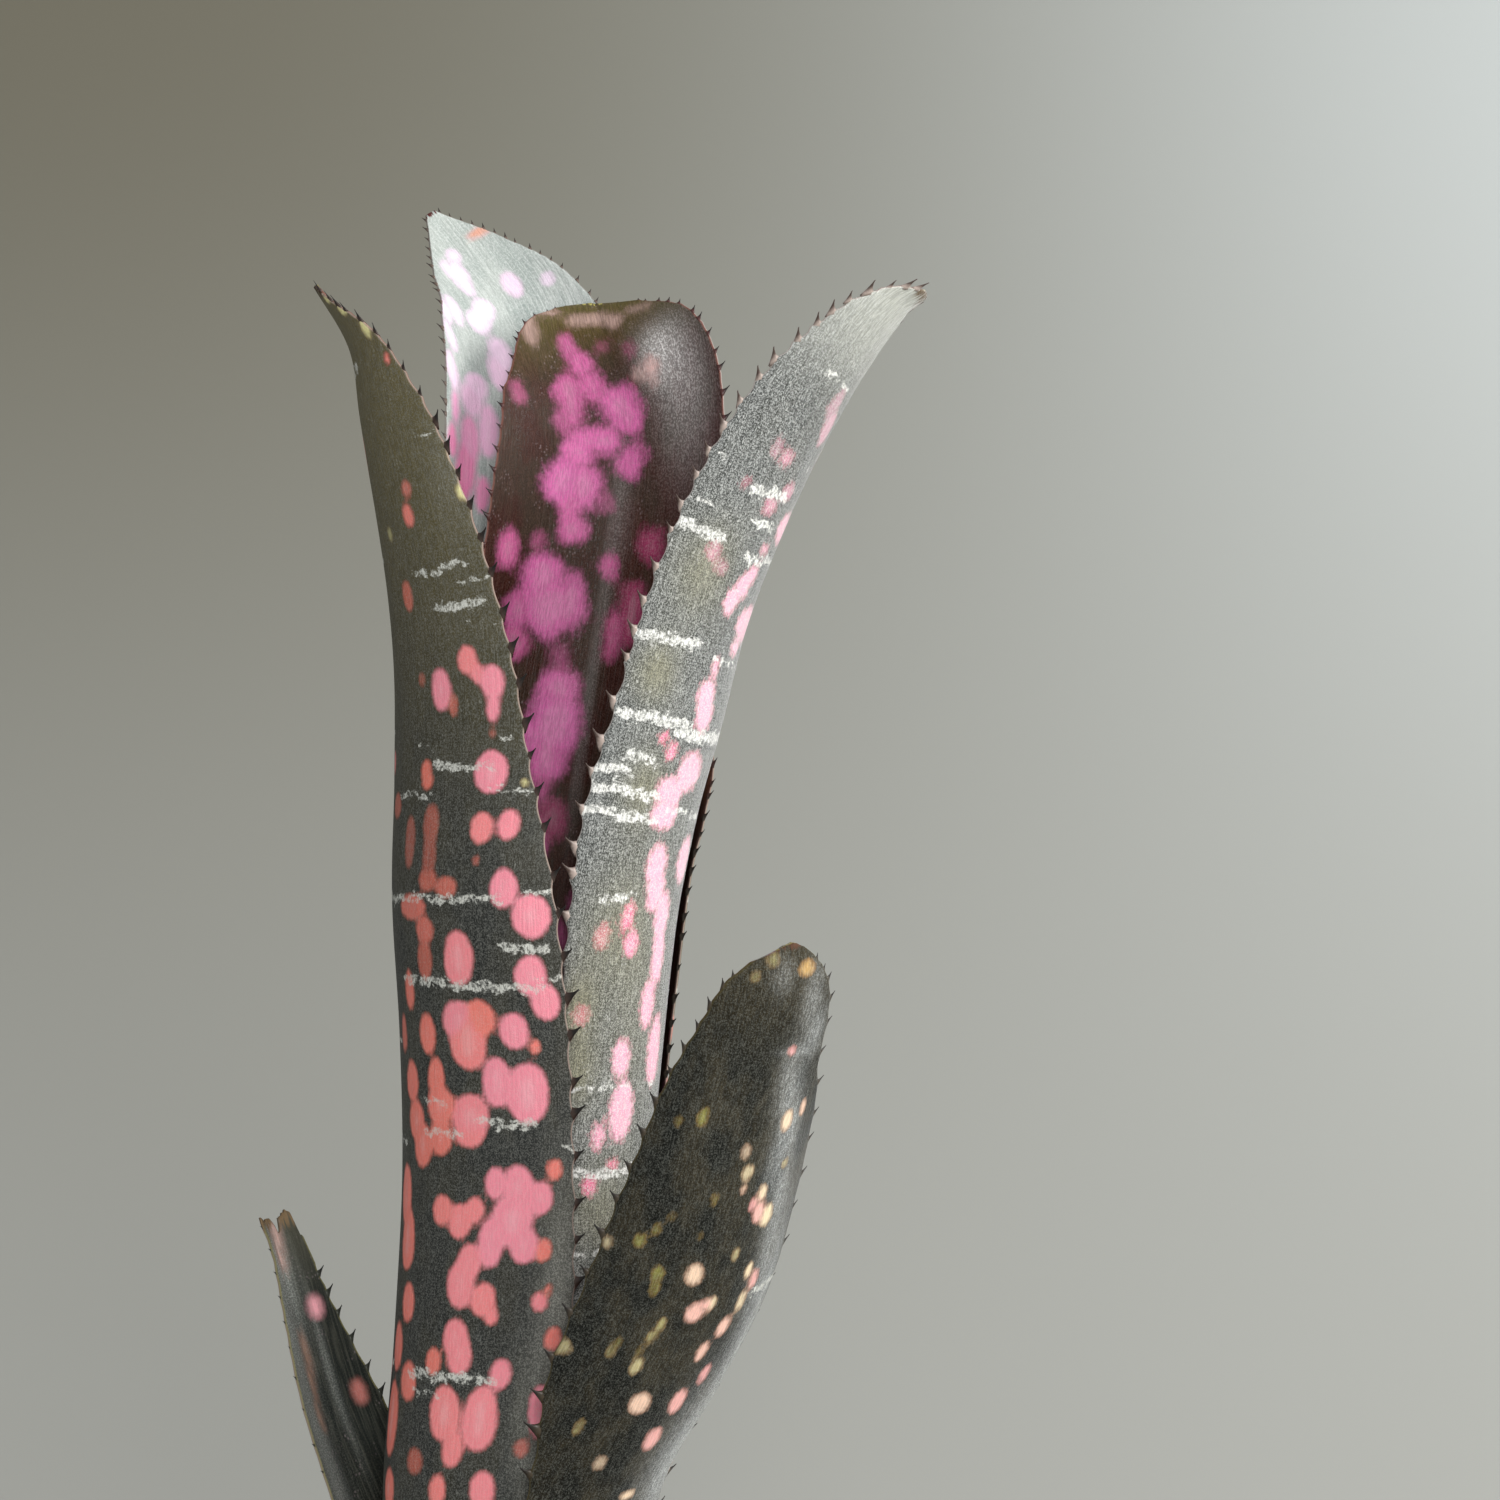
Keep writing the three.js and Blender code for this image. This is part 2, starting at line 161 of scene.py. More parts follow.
# Spines and margins, lengths in mm. spine: length of a spine, or 0 for none. apart: from one to the next.
# scallop: depth of the bay between two. first: how far up the leaf they start. taper: share of its size
# that a spine keeps at the tip. crease: (place across, height, width). fold: slope of the two halves of a
# folded leaf. tear: (share across, length torn off there). ragged: how far the tip is frayed. sides: share
# of the spines' size on each margin. bulges: (extra half width, its distance below the tip, reach, margin).
Habit = namedtuple("Habit", "spine apart scallop first taper crease fold tear ragged sides bulges",
                   defaults=(1, (0, 0.1, 2.0), 0, ((-1, 0), (1, 0)), 0, (1, 1), ()))
HABITS = {
    "leaf_center": Habit(1.9, 5.6, 0.3, 170, 0.6, (-0.6, 0.45, 1.1), sides=(1, 0.8)),
    "leaf_right": Habit(2.4, 6.8, 0.9, 90, 0.7),
    "leaf_back_right": Habit(1.8, 5.2, 0.4, 80, 0.6),
    "leaf_back_left": Habit(1.3, 4.6, 0.2, 150, 0.7),
    "leaf_left": Habit(2.4, 7.4, 0.6, 70, 0.6),
    "leaf_low_right": Habit(2.3, 7.8, 0.6, 50, 0.42,
                            tear=((-1, 2.2), (-0.5, 0.4), (0, 0), (0.6, 0.2), (1, 1)),
                            bulges=((3.6, 2, 12, -1), (1.3, 22, 12, -1), (-1.5, 21, 5, 1),
                                    (0.8, 8, 6, 1))),
    "leaf_low_left": Habit(1.9, 6.6, 0.35, 40, 0.8, (2, 0.4, 1.2), 0.22,
                           ((-1, 5.4), (-0.87, 4.8), (-0.8, 0.6), (-0.5, 0), (0.05, 1), (0.15, 3.2),
                            (0.3, 3.6), (0.4, 1.6), (0.6, 0.2), (0.8, 1), (1, 0)), 0.3, sides=(1, 0.3),
                           bulges=((1.4, 0, 5, 1),)),
    "sheath_right": Habit(0, 6, 0.3, 0, tear=((-1, 2), (0, 0), (1, 1)), ragged=3.0),
    "sheath_front": Habit(0, 6, 0.3, 0, tear=((-1, 0), (0, 2), (1, 3)), ragged=3.0),
}

# Spots: (mm up the leaf, mm across it, half height, half width, tone, strength). Tone runs from 0 to 1
# through the three spot colours of the leaf's skin, and 2 is its mark. Spots that touch run together.
SPOTS = {
    "leaf_left": [
        (240, 11, 1.2, 0.9, 0.5, 0.6), (236, 10, 1.7, 1.1, 0.5, 0.9), (223.5, 5.5, 2.3, 1.3, 0.9, 0.7),
        (261, 13.5, 0.7, 0.5, 0.5), (210, 7, 1, 0.7, 1, 0.5), (208.5, 11.5, 3.2, 1.9),
        (206, 14, 1.3, 0.7, 0.8, 0.6), (212.8, 17, 2, 1.6, 0.3), (210.6, 18.6, 1.2, 1, 0.2),
        (209.4, 21, 2.2, 1.9), (206, 21, 1.9, 1), (202.2, 21, 0.5, 0.35, 0.7, 0.5), (195.5, 21, 3.9, 2.7),
        (195.5, 8, 1.6, 1.1, 0.9), (193.5, 8.7, 1.4, 1.2, 0.9), (186, 20, 2.4, 1.6, 0.3),
        (186.5, 24.5, 2.2, 1.6, 0.1), (180.6, 19.6, 0.5, 0.35, 0.8, 0.6), (186.5, 10, 3, 1.6, 1, 0.5),
        (181.5, 10, 3, 1.4, 1, 0.45), (183.5, 4.5, 4, 1.5, 1, 0.45), (177.5, 10, 1.8, 2, 1, 0.7),
        (176.5, 14, 1.5, 2.2, 0.9, 0.75), (189.5, -2, 2, 2.2, 1, 0.6), (176.5, 24.5, 3.2, 2.2),
        (172, 29, 3.4, 3, 0), (173, 5.5, 1.9, 3.8, 0.8, 0.85), (169.5, 9, 2.2, 2.2, 0.8, 0.8),
        (164.5, 8.5, 3.2, 1.8, 1, 0.7), (165, 16, 4.4, 2.7, 0.2), (162.5, 28.3, 3.1, 2.5),
        (158.3, 30.2, 2.8, 2.1), (155, 15, 3.1, 2.9, 0.1), (155.4, 19.2, 2.9, 2.3, 0.6),
        (151.8, 16.7, 4.7, 3.3, 0.35), (152.5, 8, 3.3, 1.8, 0.7), (159.5, 3, 3.2, 1.5, 0.8),
        (152, -0.5, 3, 1.3, 0.8, 0.8), (153.5, 24.7, 2.8, 2.1), (151, 28, 0.9, 0.6, 0.5),
        (145.3, 21.5, 3.8, 2.3), (143.5, 26.3, 4.8, 3.4), (144.5, 2.5, 3.2, 2, 0.7),
        (145.2, 9.8, 3.2, 1.8, 0.7), (141, 10.5, 3, 2.9, 0.6), (135.8, 10.5, 3, 2.2, 0.7),
        (139.5, 16.5, 3.5, 3.3, 0.2), (136.5, 16.2, 1.9, 2.5, 0.3), (138, 3.8, 3.2, 2.4, 0.7),
        (134.3, 5.8, 3.5, 2.6, 0.7), (131.2, 30.4, 1.6, 1.1, 0.6), (125.5, -0.5, 4.9, 2.4, 0.6),
        (118.3, 1.2, 4.9, 2.6, 0.6), (124, 11, 2.3, 2, 0.4), (122.5, 14.6, 2.6, 2.1, 0.3),
        (124.5, 17.4, 1.9, 1.5, 0.3), (129, 20.8, 2.4, 1.7), (128.6, 24.5, 3.2, 2.4),
        (126.5, 28, 2.5, 2.1), (123, 23.7, 4, 3.2), (119.3, 20.3, 3.8, 2.1), (119.2, 25.7, 2.9, 2.2),
        (118.2, 28.9, 1.6, 1.1, 0.6), (116, 16.8, 3, 2, 0.2), (112.3, 15.3, 3.6, 2.4, 0.2),
        (110.2, 19.5, 2.6, 1.9, 0.3), (107.5, 21.2, 1.3, 0.9, 0.3), (108.3, 2.8, 3.1, 1.9, 0.6),
        (103.8, 14.9, 2.8, 2.2, 0.2), (100.8, 16, 3, 2.1, 0.2), (110, 28.7, 1.4, 1.1, 0.2),
        (112, 30, 0.7, 0.5, 0.8), (104, 31.1, 1.7, 1.1, 0.5), (98.3, 23.3, 2.4, 1.6, 0.1),
        (99.5, 10.8, 2, 1.5, 0.7), (100.5, -0.8, 3.8, 2, 0.7), (95.5, 4.5, 3.2, 2.2, 0.7),
        (88.5, -1, 6, 2.6, 0.7), (91.5, 14, 4.3, 2.9, 0.3), (85.8, 16, 2.7, 1.6, 0.3),
        (91, 20.4, 5.1, 2.8, 0.2), (92.2, 30, 4.2, 1.6), (86.5, 27.5, 1.4, 1, 0.7, 0.6),
        (83, 8.4, 2.2, 1.7, 1, 0.6), (79, 13.8, 2.4, 1.6, 0.4), (79.6, 21.7, 2.7, 2.1, 0.2),
        (77, 0, 3.2, 2.2, 0.7), (266.3, 10.7, 1.6, 1, 2), (271, 7.2, 1.2, 1.1, 2),
        (274.3, 4.2, 1.2, 1.2, 2), (243.4, 21.6, 1.3, 0.8, 2, 0.8), (237.6, 21.2, 1.2, 0.9, 2, 0.9),
        (233.8, 3.2, 1, 0.7, 2, 0.4), (193.5, 26.5, 0.7, 0.6, 2, 0.8),
    ],
    "leaf_right": [
        (250.5, 0.5, 2.8, 1.8, 0, 0.5), (246.5, 2.8, 3, 2.2, 0, 0.7), (240.2, -8, 1.4, 0.9, 0.2, 0.4),
        (239.3, -5, 1.6, 1.5, 0.2, 0.6), (234.3, -0.5, 1.4, 1.7, 0.1, 0.6), (231, -4, 1.4, 1.6, 0.2, 0.6),
        (233, -11, 0.9, 0.9, 0.4, 0.4), (228.5, 5, 2.6, 4), (224.2, -0.4, 0.9, 1.3, 0.2, 0.7),
        (221, -12, 1.3, 1.3, 0.2, 0.55), (219.3, -9.5, 1.1, 1.2, 0.2, 0.35), (214.5, -4.5, 2.4, 1.9),
        (217.5, -2.8, 2.2, 1.9), (219.8, -1.2, 1.5, 1.6), (211.5, 4.5, 2.9, 5), (207.3, 1.8, 1.2, 2),
        (203.5, -4, 1.5, 0.9, 0.1), (199, -4.7, 2.4, 2.2), (195.5, -3.7, 2.8, 2.3), (186, -3.6, 3.3, 3.2),
        (182.2, -7.5, 2.6, 3), (178.3, -7.6, 2.5, 2.9), (188.8, -9.5, 1.4, 0.9, 0.4),
        (190.6, -12, 0.8, 0.8, 0.5), (170, -6.8, 3.4, 2.3), (166, -5.8, 3.4, 2.4), (162, -2.8, 4, 2.2),
        (155.3, -2.4, 4.6, 1.8), (171, 2.4, 4, 3), (159, -15.6, 2, 1.1, 0.9, 0.7),
        (162, -11.2, 2.4, 1.1, 0.6), (157.6, -9.8, 2.1, 1.4, 0.3), (147.5, -4.2, 4, 1.8, 0.1),
        (139.5, -0.4, 5.8, 2.3, 0.1), (138.8, -9.2, 3.1, 1.8), (130, -8, 4.8, 2.4),
        (126, -12.3, 2.3, 1.2, 0.1), (118, -13, 1.5, 1, 0.5), (146, -17.5, 1.5, 1.1, 0.9, 0.7),
        (121.2, -9, 0.8, 0.9, 0.6),
    ],
    "leaf_center": [
        (259.4, 5.9, 2.6, 1.2, 0.2, 0.7), (256.6, 5.1, 2.8, 1.8, 0.2, 0.85),
        (249.5, 7.9, 5.5, 2.7, 0.2, 0.75), (244.8, 9.6, 2.8, 1.7, 0.2, 0.6),
        (251.8, 3.7, 3.4, 2.4, 0.2, 0.85), (247.3, -0.7, 3.8, 3.5, 0.1, 0.95),
        (245.2, -2.2, 3.2, 2.4, 0.1), (240.8, 3.9, 2.4, 4.4, 0.1), (238.7, 6.8, 3, 3, 0.1),
        (232.8, 9.3, 4.2, 3.6), (232.1, 5.6, 4.2, 3.2, 0.1), (237.6, -2.3, 3, 2.4, 0.1),
        (228.9, 7.1, 2.6, 2.3, 0.2), (229.7, 1.8, 1.8, 1.2, 0.3, 0.5), (224.3, 6.6, 2.6, 2.5, 0.2),
        (218.4, 18.6, 3.3, 2.4, 0.4), (220.8, 13.2, 1.4, 1.3, 0.4, 0.7),
        (250.9, 17.9, 2.8, 1.5, 0.5, 0.5), (256.6, -4.2, 1, 1, 0.5, 0.4), (259.6, 0, 0.9, 1, 0.5, 0.35),
        (252.4, -7.1, 1, 0.9, 2, 1), (250, -7.7, 0.6, 0.6, 2, 0.5), (251.7, -5.2, 0.7, 0.7, 2, 0.5),
        (265.3, 1.2, 1.1, 3.2, 2, 0.42), (263.9, -3.2, 1.5, 1.5, 2, 0.45), (267, 9, 1, 2.6, 2, 0.5),
        (264, 12.6, 2, 1.5, 2, 0.4), (265, -8.6, 0.8, 2, 2, 0.3), (215.1, 10.8, 4.2, 3.6, 0.1),
        (210, 9, 5.2, 5, 0.1), (208.1, 14.4, 3.4, 3, 0.2, 0.85), (211.4, 5.4, 5, 2.8, 0.1, 0.9),
        (202.9, 14.4, 3.2, 2.6, 0.4, 0.85), (201.7, 5.4, 2.6, 1.6, 0.3, 0.5), (196.3, 4.8, 3.2, 3.6, 0.1),
        (190.5, 5, 5.4, 4.6), (184.4, 5.6, 4.4, 3.4, 0.1), (187.1, 8.4, 4, 2.6),
        # The spots at 210.9, 207.2 and 223 mm up take the dark high spot colour as painted shade beside the
        # right leaf's margin
        (180.5, 5.5, 3, 1.8, 0.3, 0.7), (218.9, 0, 1.7, 1.6, 0.3, 0.85), (210.9, -6, 5.2, 2.4, 0.9),
        (207.2, -3.2, 4.4, 1.7, 0.6, 0.85), (223, -7.8, 3, 2.3, 0.9), (174.2, 3, 3.4, 2.4, 0.8, 0.7),
    ],
    "leaf_back_left": [
        (290.7, 2.1, 1.2, 1), (288, 5, 2.2, 0.6), (286.8, 3.6, 2.4, 1.3), (284.6, 4.3, 2.6, 1.3),
        (281, -4, 2.2, 1.4, 0.1), (280, 13, 5, 0.9), (278.6, 10.5, 4, 1), (277.8, 4, 2.4, 2),
        (275.6, 6, 2.7, 2.1), (279, -10.4, 0.6, 0.9, 0), (268, 4.2, 3.6, 2.1, 0.1),
        (264.2, 5.4, 3.8, 2.1, 0.2), (262.7, 17, 4.8, 1.2, 0.1), (260.3, 11.2, 3.2, 2.4, 0.2),
        (257, 12.6, 3.4, 2.4, 0.3), (251.6, 9, 4.9, 2.1, 0.4), (248.6, 13.2, 4.5, 2.2, 0.7),
        (243, 14, 5, 2.3, 0.9), (239, 9.6, 3.3, 1.5, 0.8), (247, 18, 3.1, 1.2, 0.9),
        (292.2, -6.4, 0.7, 3.6, 2, 0.8), (239.5, 15, 4, 2, 1), (272, 14.6, 3.4, 0.8),
        (254, 17, 3, 0.9, 0.6),
    ],
    "leaf_low_right": [
        (151.5, -9.5, 1.5, 0.7), (150, -13, 0.8, 0.5, 0, 0.6), (129.8, -15, 1.2, 0.8),
        (132, -12.7, 1, 0.6, 0, 0.8), (124.3, -11, 1.4, 0.7), (121.2, -10.9, 1.3, 0.6),
        (112, -8.6, 1.2, 0.6, 0.1), (114.8, -7.8, 1.4, 0.6, 0.1), (107.3, -13.5, 0.9, 0.5, 0.1, 0.7),
        (109.6, -13, 0.8, 0.4, 0, 0.6), (109, -9.3, 0.9, 0.4, 0, 0.6), (106.2, -8.6, 1.6, 0.8, 0.2),
        (137.8, -4.7, 1.4, 0.6, 0, 0.8), (134.4, -10.8, 0.8, 0.7, 0, 0.4),
        (131.6, -5.7, 0.8, 0.6, 0, 0.5), (128, 1.7, 1.2, 0.7, 0.2), (93, -12.8, 1.6, 0.5, 0.1),
        (142.5, 0.3, 1.4, 0.9, 0.4), (146, -1, 1.2, 0.8, 0.6, 0.7), (124.8, -5.1, 2.1, 1.5, 0.65),
        (117.7, -2.9, 1.9, 1.6, 0.85), (119.2, -1.2, 1.1, 1.2, 0.9), (119.6, -0.2, 1.1, 0.6, 0.4),
        (119.2, 6.3, 1.7, 0.8, 0.5), (114.8, 4.3, 1.9, 1.4, 0.8), (110.3, 2.1, 2, 1, 0.8),
        (105.7, 5.4, 2.2, 1.2, 1), (100, -5, 2.1, 1.9, 0.7), (100.6, 2.4, 2.5, 1.5, 0.95),
        (93.6, 0.8, 2.3, 1.4, 0.95), (87.7, -6.4, 1.3, 1, 0.6, 0.7), (138.6, 4.3, 1.6, 1, 0.55),
        (136.7, 2.9, 1.3, 0.9, 1), (135.2, 4.5, 2, 1.2, 0.9), (134.3, 6.8, 2, 1.1, 0.5),
        (150.6, 6.4, 1.8, 1.1, 0.6), (152.4, 10.2, 1.5, 0.8, 0.7), (142.9, 8.2, 0.7, 0.9, 0.2),
        (139.4, 0.1, 0.7, 0.5, 0.7), (124.6, 5.7, 1.3, 0.6, 0.5), (122.5, 8, 1.7, 1.1, 0.95),
        (176.2, 2.6, 1.1, 1.5, 2, 0.75), (163, 3.2, 0.8, 0.9, 1), (178.4, -3.4, 1.4, 1, 0.1, 0.6),
        (175.3, -6.4, 1.2, 0.8, 0.1, 0.6), (81.8, 2, 1, 1.5, 0.6),
    ],
    "leaf_low_left": [
        (126.5, 1.4, 3, 0.7, 1.6, 0.8), (123, 1.9, 3, 0.4, 1.6, 0.8), (112, -1.8, 2, 1.3),
        (96, -5.3, 2, 1.2, 0.6), (70, -4, 2.4, 2, 0.5), (58, 6, 3, 2.2), (105, 2.3, 2.6, 0.35, 1, 0.7),
        (99.6, 2.9, 2.6, 0.35, 1, 0.8), (94.4, 3.8, 2.4, 0.5, 1, 0.6),
    ],
}

# Soft patches, a tint on some leaves and painted light and painted highlight on others: (mm up the leaf, mm
# across it, half height, half width, strength)
PAINTED_LIGHT_AND_TINT = {
    # leaf_left: pale patches by the lower right margin, partly scurf and partly painted light from the right
    "leaf_left": [(110, 31.5, 20, 3, 0.8), (90, 30, 14, 4, 0.7), (240, 20, 8, 3, 0.3)],
    "leaf_right": [
        (218, -12.5, 7, 5, 0.55), (201, -16, 5, 3.5, 0.7), (182, -13, 6, 4, 0.6), (160, -13, 9, 6, 0.5),
        (147, -18, 6, 3, 0.85), (137, -17, 6, 3, 0.7), (114, -11, 8, 6, 0.5), (148, -7, 24, 8, 0.3),
    ],
    # leaf_center: a painted highlight near the top, fading down its right-hand side, and a painted highlight
    # along the midrib groove
    "leaf_center": [
        (254.4, -9.4, 3, 2.6, 0.85), (253.4, -10.6, 5, 4, 0.75), (250, -13, 9, 6, 0.36),
        (243, -14, 12, 6, 0.22), (231, -1.4, 13, 2, 0.16), (208, -0.6, 22, 0.9, 0.16),
        (186, -0.4, 16, 0.7, 0.16),
    ],
    # leaf_low_right: painted light and painted highlight along its lit right side, and a painted highlight on
    # a crease
    "leaf_low_right": [
        (171.6, 5, 5, 2.2, 0.4), (165.5, 8, 4, 2.4, 0.55), (160, 4, 4, 2.2, 0.4),
        (154.8, 5.5, 4, 2.6, 0.5), (149, 8, 5, 2.4, 0.6), (144, 6, 6, 2.4, 0.4), (137, 9, 6, 2, 0.45),
        (175.3, -1.6, 3, 2, 0.25), (162.8, 4.5, 0.6, 3.4, 0.6), (110, 14, 22, 4, 0.75),
        (88, 12, 15, 7, 0.85), (128, 10, 14, 3, 0.4),
    ],
    # leaf_low_left: painted light on the lit flap of the fold, and a painted highlight line
    "leaf_low_left": [
        (120, 2.6, 10, 2, 0.9), (108, 5.2, 12, 2.7, 0.9), (95, 7, 12, 3, 0.9), (80, 8, 14, 3.6, 0.9),
        (101, -1, 14, 0.8, 0.4),
    ],
}

# The part of each leaf, as mm up and across, whose spots are placed above. The rest is scattered: how
# many spots, and the least and greatest half height.
Scatter = namedtuple("Scatter", "count small large up across")
SCATTERED = {
    "leaf_left": Scatter(75, 1.2, 4.6, (74, 277), (-3, 40)),
    "leaf_right": Scatter(70, 1.2, 4.6, (112, 275), (-26, 7)),
    "leaf_center": Scatter(30, 1.5, 4.5, (176, 272), (-24, 24)),
    "leaf_back_right": Scatter(40, 1.2, 4.0, (0, 0), (0, 0)),
    "leaf_back_left": Scatter(70, 1.3, 4.4, (236, 300), (-14, 21)),
    "leaf_low_right": Scatter(22, 0.7, 2.0, (80, 181), (-16, 12)),
    "leaf_low_left": Scatter(10, 0.9, 2.4, (50, 130), (-12, 12)),
}

# Pale cross bands: (mm up the leaf, from and to mm across, half height, strength)
BANDS = {
    "leaf_left": [
        (226.5, 9, 19, 0.5, 0.7), (224.3, 17, 24, 0.45, 0.55), (221, 12, 20, 0.65, 0.8),
        (217.8, 18, 24, 0.35, 0.35), (201.5, 21, 26, 0.45, 0.4), (199.5, 6, 10, 0.35, 0.3),
        (196.3, 10, 21, 0.8, 0.65), (192.5, 21, 28, 0.5, 0.55), (191, 0, 10, 0.5, 0.45),
        (174.7, -6, 24, 0.65, 0.75), (175.5, 28, 32, 0.8, 0.4), (167, 24, 31, 0.85, 0.6),
        (160.8, 2, 29, 0.75, 0.8), (162.3, 30, 34, 0.5, 0.6), (136.5, 7, 15, 0.8, 0.5),
        (138.5, 18, 27, 0.8, 0.55), (141.5, 6, 12, 0.6, 0.5), (97.3, 5, 22, 0.9, 0.5),
        (94, 6, 14, 0.6, 0.3), (247.5, 17, 22, 0.4, 0.5),
    ],
    "leaf_right": [
        (223.6, -22, -11, 0.8, 1), (222.2, -5.5, 9, 0.6, 0.9), (227.5, -20, -15, 0.35, 0.5),
        (235.4, -18, -15, 0.35, 0.4), (206.2, -21, -9, 0.75, 0.95), (204.5, -5, 5, 0.5, 0.55),
        (193.4, -20, -8, 0.8, 1), (192, -9, 6, 0.9, 0.95), (180.8, -24, -10, 0.8, 0.85),
        (177, -23, -9, 0.7, 0.9), (184, -24, -17, 0.9, 0.7), (186.6, -17, -12, 0.7, 0.8),
        (165, -17, -11, 0.7, 0.7), (120, -16, 2, 0.9, 0.6), (134, -18, 2, 0.6, 0.35),
        (233, -9, -1, 1.1, 0.6), (228, -6, -1, 0.9, 0.5), (178.6, -7, 5, 0.6, 0.6),
        (254, -6, 2, 0.6, 0.4),
    ],
}
# Where the bands are not placed above: the least and greatest distance between two, in mm
BANDED = {
    "leaf_left": (13, 30), "leaf_right": (10, 24), "leaf_center": (14, 30), "leaf_back_left": (12, 28),
    "leaf_back_right": (13, 30), "leaf_low_right": (30, 60), "leaf_low_left": (24, 50),
}

# Leaf blades. Lengths are in mm, and a place is how fast noise changes across, along and from leaf to leaf.
GRID_STEP = 0.85
CURVE_STEPS = 400
NEARBY = 0.002
LEAST_HALF = 0.2
MARGIN_CROWDING = 0.22
VISIBLE_THICKNESS = 0.92
EDGE_ROUNDING = 0.04
EDGE_THINNING = 0.55
WAVE_PLACE = (0.07, 0.05, 7.1)
TUBE_WAVINESS = 0.06
TUBE_CREASE = 0.6
TEAR_POWER = 12
FRAY_PLACE = 9
STRAND_PLACE = 37

# Spines and the bays between them, as shares of a spine's size or of the distance between two
SPACING_SWING = (0.85, 1.15)
SIZE_SWING = (0.75, 1.15)
BARE_TIP = 0.2
CROWDING = 0.3
TIP_CROWDING = 0.7
TAPERED_CROWDING = 0.5
TIP_POWER = 10
TAPER_POWER = 4
SCALLOP_SKEW = 1.25
SCALLOP_ROUNDING = 0.8
SPREADING = 1.2
FLAT_MARGIN = 0.2
SPINE_SIDES = 6
SPINE_RINGS = 4
SPINE_POINT = 0.1
SPINE_HOLLOW = 1.9
SPINE_LOWER_FLARE = 1.9
SPINE_UPPER_FLARE = 1.1
SPINE_HOOK = 0.6
SPINE_HOOK_POWER = 1.4
SPINE_FLATNESS = 0.55
SPINE_REACH = 1.15
SPINE_SUNK = 0.22

# Markings, lengths in mm
FAR = 4.0
SPOT_BLEND = 0.35
SPOT_WOBBLE = 0.4
BLOTCH_WOBBLE = 1.3
WOBBLE_PLACE = (0.3, 0.22, 3.7)
BAND_WOBBLE = 0.9
BAND_WAVES = 0.16
WEAK_BAND_FADE = 0.7
BAND_END_FADE = 0.6
LOWEST_BAND = 24.0
BARE_ABOVE = 16
BAND_STRENGTH = (0.35, 0.95)
BAND_STRETCH = (5, 22)
BAND_GAP = (-1, 5)
BAND_STEP = 1.2
BAND_HALF = (0.35, 0.85)
SPOTTED = (0.04, 0.97)
SPOT_TONE = (0, 0.8)
SPOT_LOBE = (-0.6, 0.6)
SPOT_STRENGTH = (0.6, 1)
SPOT_SPARE = 2.5
SPOT_SLIMNESS = 0.62
LOBED_ABOVE = 0.55
LOBE_HEIGHT = 0.7
LOBE_WIDTH = 0.8

# The place attribute is in cm, with the two faces of a leaf set apart in it so that their grain differs
CM = 0.1
FACES_APART = 0.2


def srgb(red, green, blue):
    """A colour from its 0 to 255 values as a screen shows them."""
    def linear(value):
        share = value / 255
        return share / 12.92 if share <= 0.04045 else ((share + 0.055) / 1.055) ** 2.4
    return linear(red), linear(green), linear(blue)


def rgba(color):
    """An opaque colour for a socket."""
    return (*color, 1.0)


# Shape of the leaves

def heading(degrees):
    """The level unit vector that points the given degrees from the front, towards +X."""
    turn = math.radians(degrees)
    return Vector((math.sin(turn), -math.cos(turn), 0))


def smooth_row(rows, share):
    """Rows of numbers read as one smooth curve, with share from 0 at the first row to 1 at the last."""
    last = len(rows) - 1
    place = min(max(share * last, 0), last - 1e-6)
    first = int(place)
    f = place - first

    def row(k):
        if k < 0:
            return [2 * p - q for p, q in zip(rows[0], rows[1])]
        if k > last:
            return [2 * p - q for p, q in zip(rows[last], rows[last - 1])]
        return rows[k]

    around = zip(row(first - 1), row(first), row(first + 1), row(first + 2))
    return [0.5 * (2 * b + (c - a) * f + (2 * a - 5 * b + 4 * c - d) * f * f
                   + (3 * b - a - 3 * c + d) * f ** 3) for a, b, c, d in around]


def tube_at(height):
    """The tube's axis (x, y) and innermost radius at a height."""
    above = next((k for k, row in enumerate(TUBE) if row[0] > height), len(TUBE) - 1)
    k = max(above - 1, 0)
    step = (height - TUBE[k][0]) / (TUBE[k + 1][0] - TUBE[k][0])
    return smooth_row(TUBE, (k + step) / (len(TUBE) - 1))[1:]


def stations_of(leaf, pitch):
    """A leaf's rows (x, y, z, half width, curl, facing, lean). Lean is 0 where a section lies level."""
    rows = []
    for height, sweep in leaf.wrap:
        x, y, radius = tube_at(height)
        own = radius + leaf.layer * pitch
        out = heading(leaf.facing)
        rows.append((x + own * out.x, y + own * out.y, height, own * math.radians(sweep), own,
                     leaf.facing, 0))
    return rows + [(*row, 1) for row in leaf.free]


class Section:
    """One cross-section of a leaf: its midrib point, directions, half width and curl."""

    def __init__(self, stations, share):
        x, y, z, self.half, self.curl, facing, lean = smooth_row(stations, share)
        ahead = smooth_row(stations, min(share + NEARBY, 1))
        behind = smooth_row(stations, max(share - NEARBY, 0))
        self.lean = min(max(lean, 0), 1)
        self.midrib = Vector((x, y, z))
        self.along = Vector(((ahead[0] - behind[0]) * self.lean, (ahead[1] - behind[1]) * self.lean,
                             ahead[2] - behind[2])).normalized()
        side = heading(facing + 90)
        self.side = (side - self.along * side.dot(self.along)).normalized()
        self.out = self.side.cross(self.along)

    def normal(self, across):
        """The direction out of the leaf's outer face at mm across it."""
        angle = across / self.curl
        return self.out * math.cos(angle) + self.side * math.sin(angle)

    def point(self, across, lift):
        """The point at mm across the leaf, lifted off its middle surface towards its outer face."""
        return self.midrib - self.out * self.curl + self.normal(across) * (self.curl + lift)


